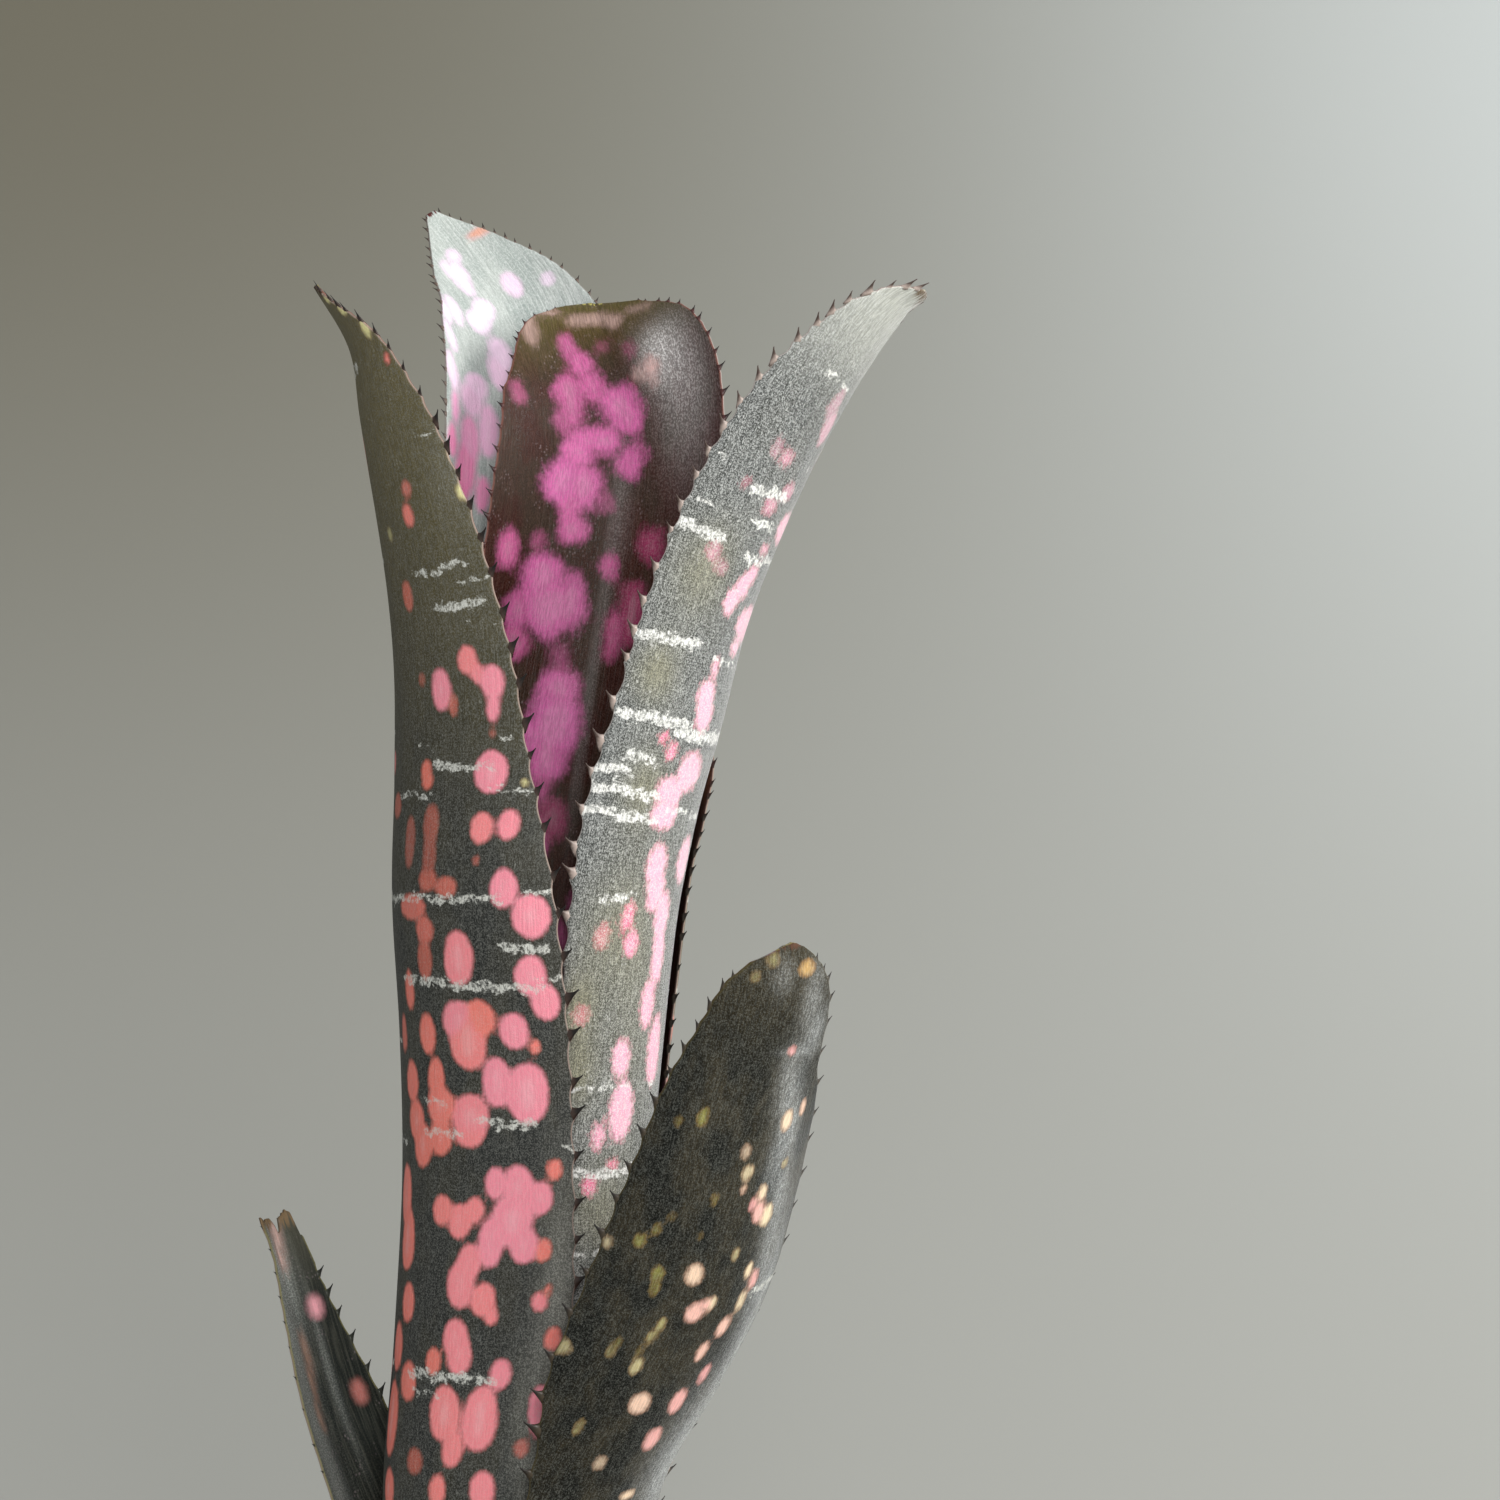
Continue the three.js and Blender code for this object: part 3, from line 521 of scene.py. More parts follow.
class LeafShape:
    """A leaf's sections at equal steps of its length, with its spines' places on both margins."""

    def __init__(self, leaf, sizes, seed):
        self.leaf = leaf
        self.habit = HABITS[leaf.name]
        self.random = random.Random(seed)
        stations = stations_of(leaf, sizes.layer_pitch)
        fine = CURVE_STEPS
        places = [Vector(smooth_row(stations, k / fine)[:3]) for k in range(fine + 1)]
        ups = [0.0]
        for k in range(fine):
            ups.append(ups[-1] + (places[k + 1] - places[k]).length)
        self.length = ups[-1]
        self.rows = round(self.length / GRID_STEP)
        self.sections = []
        k = 0
        for row in range(self.rows + 1):
            up = self.length * row / self.rows
            while k < fine - 1 and ups[k + 1] < up:
                k += 1
            share = (k + (up - ups[k]) / (ups[k + 1] - ups[k])) / fine
            self.sections.append(Section(stations, min(share, 1)))
        widest = max(section.half for section in self.sections)
        self.columns = 2 * math.ceil(widest / GRID_STEP)
        self.spines = {side: self.spine_places(side) for side in (-1, 1)}
        self.bites = {side: self.scallops(side) for side in (-1, 1)}

    def up(self, row):
        """How far up the leaf a row is, in mm."""
        return self.length * row / self.rows

    def tapered(self, row):
        """The share of its full size that a spine or scallop has at a row."""
        return 1 - (1 - self.habit.taper) * (row / self.rows) ** TAPER_POWER

    def spine_places(self, side):
        """Places of the spines on one margin, as mm along it, and each row's own place."""
        margin = [0.0]
        points = [section.point(side * section.half, 0) for section in self.sections]
        for before, after in zip(points, points[1:]):
            margin.append(margin[-1] + (after - before).length)
        first = round(self.habit.first / self.length * self.rows) if self.habit.spine else self.rows
        place = margin[min(first, self.rows)] + self.random.uniform(0, self.habit.apart)
        places = []
        end = margin[-1] - BARE_TIP * self.habit.apart - self.torn(side)
        tip_crowding = TIP_CROWDING - TAPERED_CROWDING * self.habit.taper
        while place < end:
            places.append(place)
            share = place / margin[-1]
            close = 1 - CROWDING * share ** 2 - tip_crowding * share ** TIP_POWER
            place += self.habit.apart * close * self.random.uniform(*SPACING_SWING)
        return places, margin

    def scallops(self, side):
        """How deep the margin is scalloped at each row, in mm."""
        places, margin = self.spines[side]
        bites = []
        for row, at in enumerate(margin):
            after = next((k for k, place in enumerate(places) if place > at), 0)
            if after == 0:
                bites.append(0.0)
                continue
            share = (at - places[after - 1]) / (places[after] - places[after - 1])
            deep = self.habit.scallop * self.tapered(row)
            bites.append(deep * math.sin(math.pi * share ** SCALLOP_SKEW) ** SCALLOP_ROUNDING)
        return bites

    def torn(self, across_share):
        """How much of the tip is missing at a share across the leaf, in mm."""
        missing = 0
        for (start, low), (end, high) in zip(self.habit.tear, self.habit.tear[1:]):
            if start <= across_share <= end:
                missing = low + (high - low) * (across_share - start) / (end - start)
        if self.habit.ragged:
            fray = noise.noise(Vector((across_share * FRAY_PLACE, self.leaf.layer, 0)))
            strand = noise.noise(Vector((across_share * STRAND_PLACE, self.leaf.layer, 5)))
            missing += self.habit.ragged * (0.5 + fray + 0.5 * strand)
        return max(missing, 0)

    def half_at(self, row, across_share):
        """The half width at a row, with the margin's bays and bulges, in mm."""
        side = 1 if across_share > 0 else -1
        below_tip = self.length - self.up(row)
        grown = sum(extra * math.exp(-((below_tip - middle) / reach) ** 2)
                    for extra, middle, reach, margin in self.habit.bulges if margin == side)
        edge = (grown - self.bites[side][row]) * abs(across_share)
        return max(self.sections[row].half + edge, LEAST_HALF)

    def place(self, row, across_share, face, sizes):
        """A grid vertex's point, and mm up, across and from the margin. Face is 1 outside, -1 inside."""
        missing = self.torn(across_share) * (row / self.rows) ** TEAR_POWER
        at = row * (1 - missing / self.length)
        low = min(int(at), self.rows - 1)
        blend = at - low
        up = at * self.length / self.rows
        across = across_share * (self.half_at(low, across_share) * (1 - blend)
                                 + self.half_at(low + 1, across_share) * blend)
        edge = abs(across_share)
        thick = sizes.leaf_thickness * VISIBLE_THICKNESS * (1 - sizes.margin_thinning * edge ** 2)
        rim = max(0.0, (edge - 1 + EDGE_ROUNDING) / EDGE_ROUNDING)
        thick *= 1 - EDGE_THINNING * rim ** 2
        lean = self.sections[low].lean
        where = Vector((across * WAVE_PLACE[0], up * WAVE_PLACE[1], self.leaf.layer * WAVE_PLACE[2]))
        lift = noise.noise(where) * (TUBE_WAVINESS + sizes.waviness * lean) + face * thick / 2
        crease_at, depth, width = self.habit.crease
        sharp = TUBE_CREASE + (1 - TUBE_CREASE) * lean
        lift += depth * math.exp(-abs(across - crease_at) / width) * sharp
        lift -= self.habit.fold * lean * math.hypot(across - crease_at, 1)
        point = (self.sections[low].point(across, lift) * (1 - blend)
                 + self.sections[low + 1].point(across, lift) * blend)
        margin = (1 - edge) * self.sections[low].half
        return point, up, across, margin


def spot_field(spots, up, across):
    """Mm to the nearest spot's edge, negative inside it, with the spots' tone and strength there."""
    total = tones = strengths = 0.0
    for spot_up, spot_across, half_up, half_across, *rest in spots:
        if abs(up - spot_up) > half_up + FAR or abs(across - spot_across) > half_across + FAR:
            continue
        y, x = up - spot_up, across - spot_across
        inner = math.hypot(x / half_across, y / half_up)
        slope = math.hypot(x / half_across ** 2, y / half_up ** 2)
        distance = inner * (inner - 1) / slope if slope > 1e-4 else -min(half_up, half_across)
        weight = math.exp(min(-distance / SPOT_BLEND, 40))
        total += weight
        tones += weight * (rest[0] if rest else 0)
        strengths += weight * (rest[1] if len(rest) > 1 else 1)
    if total <= 1e-5:
        return FAR, 0.0, 1.0
    return min(-SPOT_BLEND * math.log(total), FAR), tones / total, strengths / total


def band_field(bands, up, across):
    """Signed distance in mm to the nearest cross band's edge, negative inside."""
    nearest = FAR
    for band_up, start, end, half, strength in bands:
        if abs(up - band_up) > FAR + 1:
            continue
        level = band_up + BAND_WOBBLE * noise.noise(Vector((across * BAND_WAVES, band_up, 0)))
        fade = WEAK_BAND_FADE * (1 - strength)
        beyond = max(start - across, across - end, 0)
        nearest = min(nearest, abs(up - level) - half + fade + beyond * BAND_END_FADE)
    return nearest


def painted_light_and_tint_field(painted_light_and_tint_patches, up, across):
    """The strength of the soft patches of tint, painted light and painted highlight at a place, from 0 to 1.
    """
    clear = 1.0
    for patch_up, patch_across, half_up, half_across, strength in painted_light_and_tint_patches:
        reach = ((up - patch_up) / half_up) ** 2 + ((across - patch_across) / half_across) ** 2
        clear *= 1 - strength * math.exp(-reach)
    return 1 - clear


def in_seen_zone(shape, up, across, spare):
    """Whether a place lies on the part of a leaf whose markings are listed."""
    scatter = SCATTERED[shape.leaf.name]
    return (scatter.up[0] - spare < up < scatter.up[1]
            and scatter.across[0] - spare < across < scatter.across[1] + spare)


def scattered_bands(shape):
    """Seeded cross bands, each broken into a few stretches, on the part that has none listed."""
    if shape.leaf.name not in BANDED:
        return []
    made = []
    up = LOWEST_BAND
    while up < shape.length - BARE_ABOVE:
        half = shape.sections[round(up / shape.length * shape.rows)].half
        strength = shape.random.uniform(*BAND_STRENGTH)
        start = -half
        while start < half:
            end = start + shape.random.uniform(*BAND_STRETCH)
            level = up + shape.random.uniform(-BAND_STEP, BAND_STEP)
            if not in_seen_zone(shape, up, (start + end) / 2, 1):
                tall = shape.random.uniform(*BAND_HALF)
                made.append((level, start, min(end, half), tall, strength))
            start = end + shape.random.uniform(*BAND_GAP)
        up += shape.random.uniform(*BANDED[shape.leaf.name])
    return made


def scattered_spots(shape):
    """Seeded spots on the part of a leaf that has none listed."""
    scatter = SCATTERED.get(shape.leaf.name)
    if scatter is None:
        return []
    made = []
    while len(made) < scatter.count:
        up = shape.random.uniform(*SPOTTED) * shape.length
        half = shape.sections[round(up / shape.length * shape.rows)].half
        across = shape.random.uniform(-1, 1) * half
        tall = shape.random.uniform(scatter.small, scatter.large)
        tone = shape.random.uniform(*SPOT_TONE)
        lobe = shape.random.uniform(*SPOT_LOBE)
        strength = shape.random.uniform(*SPOT_STRENGTH)
        if in_seen_zone(shape, up, across, SPOT_SPARE):
            continue
        wide = tall * SPOT_SLIMNESS
        made.append((up, across, tall, wide, tone, strength))
        if tall > LOBED_ABOVE * scatter.large:
            made.append((up + tall * lobe, across + wide, tall * LOBE_HEIGHT, wide * LOBE_WIDTH, tone,
                         strength))
    return made


def finish_mesh(bm, name, smooth=True):
    """A mesh object from a bmesh whose units are metres, linked to the scene."""
    for face in bm.faces:
        face.smooth = smooth
    mesh = bpy.data.meshes.new(name)
    bm.to_mesh(mesh)
    bm.free()
    piece = bpy.data.objects.new(name, mesh)
    bpy.context.scene.collection.objects.link(piece)
    return piece


def blade_mesh(shape, sizes, name):
    """A leaf's blade: a flat grid, given two faces and bent to the leaf, with its markings as attributes."""
    bm = bmesh.new()
    bmesh.ops.create_grid(bm, x_segments=shape.columns, y_segments=shape.rows, size=1)
    bmesh.ops.solidify(bm, geom=bm.faces[:], thickness=1)
    layers = {key: bm.verts.layers.float.new(key)
              for key in ("spot", "tone", "strength", "band", "haze", "edge", "inner", "tip")}
    place_layer = bm.verts.layers.float_vector.new("place")
    spots = SPOTS.get(shape.leaf.name, []) + scattered_spots(shape)
    bands = BANDS.get(shape.leaf.name, []) + scattered_bands(shape)
    painted_light_and_tint_patches = PAINTED_LIGHT_AND_TINT.get(shape.leaf.name, [])
    swing = BLOTCH_WOBBLE if shape.leaf.name == "leaf_center" else SPOT_WOBBLE
    by_row = [[] for _ in range(shape.rows + 1)]
    for spot in spots:
        low = max(0, math.floor((spot[0] - spot[2] - FAR) / shape.length * shape.rows))
        high = min(shape.rows, math.ceil((spot[0] + spot[2] + FAR) / shape.length * shape.rows))
        for row in range(low, high + 1):
            by_row[row].append(spot)
    for vert in bm.verts:
        t = vert.co.x
        row = round((vert.co.y + 1) / 2 * shape.rows)
        face = 1 if vert.co.z > -0.5 else -1
        across_share = t * (1 + MARGIN_CROWDING - MARGIN_CROWDING * t * t)
        point, up, across, margin = shape.place(row, across_share, face, sizes)
        where = Vector((across * WOBBLE_PLACE[0], up * WOBBLE_PLACE[1],
                        shape.leaf.layer * WOBBLE_PLACE[2]))
        near = by_row[min(round(up / shape.length * shape.rows), shape.rows)]
        distance, tone, strength = spot_field(near, up, across)
        vert[layers["spot"]] = distance + swing * noise.noise(where)
        vert[layers["tone"]] = tone
        vert[layers["strength"]] = strength
        vert[layers["band"]] = band_field(bands, up, across)
        vert[layers["haze"]] = painted_light_and_tint_field(painted_light_and_tint_patches, up, across)
        vert[layers["edge"]] = margin
        vert[layers["inner"]] = 0.0 if face > 0 else 1.0
        vert[layers["tip"]] = shape.length - up
        vert[place_layer] = Vector((across * CM, up * CM, face * FACES_APART))
        vert.co = point * MM
    bmesh.ops.recalc_face_normals(bm, faces=bm.faces[:])
    return finish_mesh(bm, name)


def spine_template(sizes):
    """One spine of unit length along +Z, broad along +X at its foot and bent towards +X."""
    bm = bmesh.new()
    bmesh.ops.create_cone(bm, cap_ends=True, segments=SPINE_SIDES, radius1=1, radius2=0.06, depth=1)
    sides = [edge for edge in bm.edges if abs(edge.verts[0].co.z - edge.verts[1].co.z) > 0.5]
    bmesh.ops.subdivide_edges(bm, edges=sides, cuts=SPINE_RINGS)
    half_width = sizes.spine_width / sizes.spine_length / 2
    growth = bm.verts.layers.float.new("growth")
    for vert in bm.verts:
        height = vert.co.z + 0.5
        reach = math.hypot(vert.co.x, vert.co.y)
        width = SPINE_POINT + (1 - SPINE_POINT) * (1 - height) ** SPINE_HOLLOW
        taper = width / reach if reach > 1e-6 else 0
        flare = SPINE_LOWER_FLARE if vert.co.x < 0 else SPINE_UPPER_FLARE
        vert[growth] = height
        vert.co = Vector((
            vert.co.x * taper * half_width * flare + SPINE_HOOK * height ** SPINE_HOOK_POWER,
            vert.co.y * taper * half_width * SPINE_FLATNESS,
            height * SPINE_REACH - SPINE_SUNK,
        ))
    mesh = bpy.data.meshes.new("spine_template")
    bm.to_mesh(mesh)
    bm.free()
    return mesh


def spines_mesh(shape, template, sizes, name):
    """All spines of one leaf, each set on the margin and pointing up towards the tip."""
    bm = bmesh.new()
    for side in (-1, 1):
        places, margin = shape.spines[side]
        for place in places:
            row = next(k for k, at in enumerate(margin) if at >= place)
            low, high = max(row - 2, 0), min(row + 2, shape.rows)
            section = shape.sections[row]
            along = (shape.sections[high].point(side * shape.sections[high].half, 0)
                     - shape.sections[low].point(side * shape.sections[low].half, 0)).normalized()
            normal = section.normal(side * section.half)
            outward = normal.cross(along).normalized()
            sideways = outward.dot(section.side)
            if abs(sideways) > FLAT_MARGIN:
                inward = sideways * side < 0
            else:
                inward = outward.dot(section.along) < 0
            if inward:
                outward = -outward
            outward += section.side * side * SPREADING
            outward = (outward - along * outward.dot(along)).normalized()
            normal = along.cross(outward) * side
            grown = shape.habit.sides[side > 0] * shape.tapered(row)
            length = shape.habit.spine * grown * shape.random.uniform(*SIZE_SWING)
            base = shape.place(row, side, 0, sizes)[0]
            columns = [along * length, normal * length, outward * length, base]
            rows = [[column[axis] for column in columns] for axis in range(3)]
            matrix = Matrix(rows + [[0, 0, 0, 1]])
            before = len(bm.verts)
            bm.from_mesh(template)
            bm.verts.ensure_lookup_table()
            bmesh.ops.transform(bm, matrix=Matrix.Scale(MM, 4) @ matrix, verts=bm.verts[before:])
    bmesh.ops.recalc_face_normals(bm, faces=bm.faces[:])
    return finish_mesh(bm, name)


# Pot, potting mix and their details

POT_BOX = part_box("pot")
MIX_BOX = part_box("potting_mix")
POT_HEIGHT = POT_BOX[1][2] / MM
POT_RADIUS = POT_BOX[1][0] / MM
MIX_TOP = MIX_BOX[1][2] / MM
MIX_MOUTH = 17.8
MIX_SHELF = 93.7
DRAINS = 3
DRAIN_RADIUS = 4.5
DRAIN_CIRCLE = 19
AROUND = 144
FOOT_ROUND = 1.5
LIP_ROUND = 1.2
LIP_INSET = 0.7
LEDGE_DROP = 0.8
RIM_ROUND = 2.2
RIM_INNER_ROUND = 2.0
CORNER_ROUND = 3
THROWN_RINGS = (0.33, 0.12)
OUT_OF_TRUE = (0.02, 0.28)
MIX_GAP = 0.7
STEM_HOLE = 13.5
STEM_HOLE_FLOOR = 71.5
STEM_HOLE_TOP = 86
MIX_LUMPS = ((0.12, 3, 1.2), (0.45, 8, 0.6))
MIX_CROWN = 1.6
MIX_SUNK = 3.2

# Pieces on the mix: their sizes in mm, and the ring of the mix that they lie on
CHIP_SIZES = ((3, 9), (2.2, 5), (0.8, 2.0))
CHIP_BEVEL = 0.16
CHIP_WARP = 0.16
CHIP_TAPER = 0.35
CHIP_RING = (20, 44.5)
GRAIN_SIZES = (0.6, 1.5)
GRAIN_RING = (19, 45)
CRUMB_SIZES = (0.35, 0.9)
CRUMB_RING = (18.5, 46)


def spun(profile, steps, closed):
    """A bmesh turned about the Z axis from (radius, height) points in mm."""
    bm = bmesh.new()
    verts = [bm.verts.new((radius * MM, 0, height * MM)) for radius, height in profile]
    edges = [bm.edges.new(pair) for pair in zip(verts, verts[1:])]
    if closed:
        edges.append(bm.edges.new((verts[-1], verts[0])))
    bmesh.ops.spin(bm, geom=verts + edges, cent=(0, 0, 0), axis=(0, 0, 1), angle=math.tau, steps=steps,
                   use_merge=True, use_duplicate=False)
    bmesh.ops.remove_doubles(bm, verts=bm.verts[:], dist=1e-6)
    bmesh.ops.recalc_face_normals(bm, faces=bm.faces[:])
    return bm


def arc(center, radius, start, end, steps):
    """Points (radius, height) on an arc, with angles in degrees from the outward direction."""
    turns = [math.radians(start + (end - start) * k / steps) for k in range(steps + 1)]
    return [(center[0] + radius * math.cos(turn), center[1] + radius * math.sin(turn)) for turn in turns]


def straight(start, end, steps):
    """Points between two, at equal steps and without the two themselves."""
    return [(start[0] + (end[0] - start[0]) * k / steps, start[1] + (end[1] - start[1]) * k / steps)
            for k in range(1, steps)]


def pot_profile(pot):
    """The section of the pot's wall and floor, from the middle of its underside round to the inside."""
    base, body_top = pot.base_radius / MM, POT_RADIUS - pot.collar_step / MM
    wall, floor = pot.wall / MM, pot.floor / MM
    collar = POT_HEIGHT - pot.collar_height / MM

    def outer(height):
        return base + (body_top - base) * height / POT_HEIGHT

    foot = arc((base - FOOT_ROUND, FOOT_ROUND), FOOT_ROUND, -90, 0, 4)
    ledge = (outer(collar - LEDGE_DROP), collar - LEDGE_DROP)
    lip = arc((POT_RADIUS - LIP_ROUND - LIP_INSET, collar + LIP_ROUND), LIP_ROUND, -90, -5, 4)
    rim_out = arc((POT_RADIUS - RIM_ROUND, POT_HEIGHT - RIM_ROUND), RIM_ROUND, 0, 90, 6)
    inner_rim = outer(POT_HEIGHT) - wall + RIM_INNER_ROUND
    rim_in = arc((inner_rim, POT_HEIGHT - RIM_INNER_ROUND), RIM_INNER_ROUND, 90, 180, 6)
    inner_foot = outer(floor) - wall
    corner = arc((inner_foot - CORNER_ROUND, floor + CORNER_ROUND), CORNER_ROUND, 0, -90, 4)
    return [
        (0, 0), *straight((0, 0), foot[0], 5), *foot,
        *straight(foot[-1], ledge, 22), ledge,
        *lip, *straight(lip[-1], rim_out[0], 8), *rim_out,
        *rim_in, *straight(rim_in[-1], corner[0], 16), *corner,
        *straight(corner[-1], (0, floor), 5), (0, floor),
    ]


def pot_mesh(pot, name):
    """The clay pot, turned, slightly out of true, with its drainage holes cut."""
    bm = spun(pot_profile(pot), AROUND, closed=False)
    for vert in bm.verts:
        turn = math.atan2(vert.co.y, vert.co.x)
        reach = math.hypot(vert.co.x, vert.co.y)
        height = vert.co.z / MM
        ring = noise.noise(Vector((0, 0, height * THROWN_RINGS[0]))) * THROWN_RINGS[1]
        around = Vector((math.cos(turn), math.sin(turn), height * OUT_OF_TRUE[0]))
        sway = noise.noise(around) * OUT_OF_TRUE[1]
        grow = 1 + (ring + sway - OUT_OF_TRUE[1]) * MM / max(reach, 0.01)
        if height > 0.5:
            vert.co.x *= grow
            vert.co.y *= grow
    piece = finish_mesh(bm, name)
    cutters = bmesh.new()
    for k in range(DRAINS):
        at = heading(360 * k / DRAINS) * DRAIN_CIRCLE * MM
        bmesh.ops.create_cone(cutters, cap_ends=True, segments=32, radius1=(DRAIN_RADIUS + 0.5) * MM,
                              radius2=DRAIN_RADIUS * MM, depth=0.03, matrix=Matrix.Translation(at))
    cutter = finish_mesh(cutters, "pot_drain_cutter")
    cut = piece.modifiers.new("drains", "BOOLEAN")
    cut.object = cutter
    cut.operation = "DIFFERENCE"
    cut.solver = "EXACT"
    graph = bpy.context.evaluated_depsgraph_get()
    finished = bpy.data.meshes.new_from_object(piece.evaluated_get(graph))
    piece.modifiers.clear()
    piece.data = finished
    bpy.data.objects.remove(cutter)
    for polygon in piece.data.polygons:
        polygon.use_smooth = True
    return piece


def mix_height(x, y):
    """The height of the mix's rough top at a place, in mm."""
    reach = math.hypot(x, y)
    crown = 1 - min(max((reach - MIX_MOUTH) / 30, 0), 1)
    rough = sum(noise.noise(Vector((x * scale, y * scale, layer))) * high
                for scale, layer, high in MIX_LUMPS)
    return MIX_TOP - MIX_SUNK + MIX_CROWN * crown + rough


def mix_mesh(pot, name):
    """The bed of potting mix: a turned solid with a rough top and a hole where the stem stands."""
    base, body_top = pot.base_radius / MM, POT_RADIUS - pot.collar_step / MM

    def inner(height):
        return base + (body_top - base) * height / POT_HEIGHT - pot.wall / MM - MIX_GAP

    low, top = pot.floor / MM + 0.3, MIX_TOP - 2
    shelf = MIX_SHELF - 1.5
    wall_foot, wall_top = (inner(low + 3), low + 3), (inner(top), top)
    profile = [
        (STEM_HOLE, STEM_HOLE_FLOOR), (0, STEM_HOLE_FLOOR), (0, low), (inner(low) - 3, low), wall_foot,
        *straight(wall_foot, wall_top, 8), wall_top,
        *straight(wall_top, (MIX_MOUTH, top), 26), (MIX_MOUTH, top),
        (MIX_MOUTH, shelf), (STEM_HOLE + 2.8, shelf), (STEM_HOLE, STEM_HOLE_TOP),
    ]
    bm = spun(profile, AROUND, closed=True)
    for vert in bm.verts:
        x, y, z = (part / MM for part in vert.co)
        if z > top - 0.5:
            vert.co.z = mix_height(x, y) * MM
    return finish_mesh(bm, name)


def scattered_on_mix(rng, least, most):
    """A random place on the mix between two distances from the middle."""
    reach = math.sqrt(rng.uniform(least ** 2, most ** 2))
    turn = rng.uniform(0, math.tau)
    x, y = reach * math.cos(turn), reach * math.sin(turn)
    return x, y, mix_height(x, y)


def chips_mesh(count, name):
    """Bark chips lying on the mix, each a bevelled, tapered and bent flake."""
    rng = random.Random(41)
    bm = bmesh.new()
    bm.verts.layers.float.new("shade")
    for _ in range(count):
        length, width, thick = (rng.uniform(*sizes) for sizes in CHIP_SIZES)
        x, y, z = scattered_on_mix(rng, CHIP_RING[0] + length / 2, CHIP_RING[1] - length / 2)
        part = bmesh.new()
        bmesh.ops.create_cube(part, size=1)
        bmesh.ops.bevel(part, geom=part.edges[:], offset=CHIP_BEVEL, affect="EDGES", segments=1,
                        profile=0.5, material=-1)
        value = rng.random()
        own = part.verts.layers.float.new("shade")
        for vert in part.verts:
            vert.co += noise.noise_vector(vert.co * 2.3 + Vector((x, y, 0))) * CHIP_WARP
            vert.co.x *= 1 - CHIP_TAPER * abs(vert.co.y)
            vert[own] = value
        spread = Matrix.Diagonal((length, width, thick, 1))
        lean = Matrix.Rotation(rng.uniform(-0.5, 0.5), 4, "X")
        tilt = lean @ Matrix.Rotation(rng.uniform(-0.4, 0.4), 4, "Y")
        turn = Matrix.Rotation(rng.uniform(0, math.tau), 4, "Z")
        lie = Matrix.Translation((x, y, z + thick * 0.25)) @ turn
        bmesh.ops.transform(part, matrix=Matrix.Scale(MM, 4) @ lie @ tilt @ spread, verts=part.verts[:])
        mesh = bpy.data.meshes.new("chip")
        part.to_mesh(mesh)
        part.free()
        bm.from_mesh(mesh)
        bpy.data.meshes.remove(mesh)
    return finish_mesh(bm, name, smooth=False)


def perlite_mesh(count, name):
    """White expanded grains among the bark."""
    rng = random.Random(17)
    bm = bmesh.new()
    for _ in range(count):
        radius = rng.uniform(*GRAIN_SIZES)
        x, y, z = scattered_on_mix(rng, GRAIN_RING[0] + radius, GRAIN_RING[1] - radius)
        before = len(bm.verts)
        place = Matrix.Translation(Vector((x, y, z + radius * 0.35)) * MM)
        bmesh.ops.create_icosphere(bm, subdivisions=1, radius=radius * MM, matrix=place)
        bm.verts.ensure_lookup_table()
        for vert in bm.verts[before:]:
            vert.co += noise.noise_vector(vert.co / MM * 1.7) * radius * 0.3 * MM
    return finish_mesh(bm, name, smooth=False)


def crumbs_mesh(count, name):
    """Fine crumbs of compost between the chips."""
    rng = random.Random(5)
    bm = bmesh.new()
    for _ in range(count):
        radius = rng.uniform(*CRUMB_SIZES)
        x, y, z = scattered_on_mix(rng, CRUMB_RING[0] + radius, CRUMB_RING[1] - radius)
        before = len(bm.verts)
        place = Matrix.Translation(Vector((x, y, z + radius * 0.2)) * MM)
        turn = Matrix.Rotation(rng.uniform(0, 3), 4, Vector((rng.random(), rng.random(), 1)))
        bmesh.ops.create_cube(bm, size=radius * 1.6 * MM, matrix=place @ turn)
        bm.verts.ensure_lookup_table()
        for vert in bm.verts[before:]:
            vert.co += noise.noise_vector(vert.co / MM * 2.3) * radius * 0.35 * MM
    return finish_mesh(bm, name, smooth=False)


# Node helpers

def link(tree, socket, value):
    """Feeds a socket from another socket, or sets its value."""
    if isinstance(value, bpy.types.NodeSocket):
        tree.links.new(value, socket)
    elif value is not None:
        socket.default_value = value


def add(tree, kind, **settings):
    """A node of a kind, placed on a plain grid so that the tree can be read."""
    made = tree.nodes.new(kind)
    count = len(tree.nodes)
    made.location = (220 * (count // 5), -260 * (count % 5))
    for key, value in settings.items():
        setattr(made, key, value)
    return made


def math_node(tree, operation, first, second=None, clamp=False):
    """The result of one Math node."""
    made = add(tree, "ShaderNodeMath", operation=operation, use_clamp=clamp)
    link(tree, made.inputs[0], first)
    link(tree, made.inputs[1], second)
    return made.outputs[0]


def times(tree, first, second, clamp=False):
    return math_node(tree, "MULTIPLY", first, second, clamp)


def plus(tree, first, second, clamp=False):
    return math_node(tree, "ADD", first, second, clamp)


def minus(tree, first, second, clamp=False):
    return math_node(tree, "SUBTRACT", first, second, clamp)


# A Mix node has all its kinds of sockets at once: these are the places of the colours' and the values' own
COLOR_INPUTS, COLOR_OUTPUT = (6, 7), 2
VALUE_INPUTS, VALUE_OUTPUT = (2, 3), 0


def mix_colors(tree, share, first, second, blend="MIX"):
    """Two colours blended by a share from 0 to 1."""
    made = add(tree, "ShaderNodeMix", data_type="RGBA", blend_type=blend, clamp_factor=True)
    for k, given in zip((0, *COLOR_INPUTS), (share, first, second)):
        link(tree, made.inputs[k], given)
    return made.outputs[COLOR_OUTPUT]


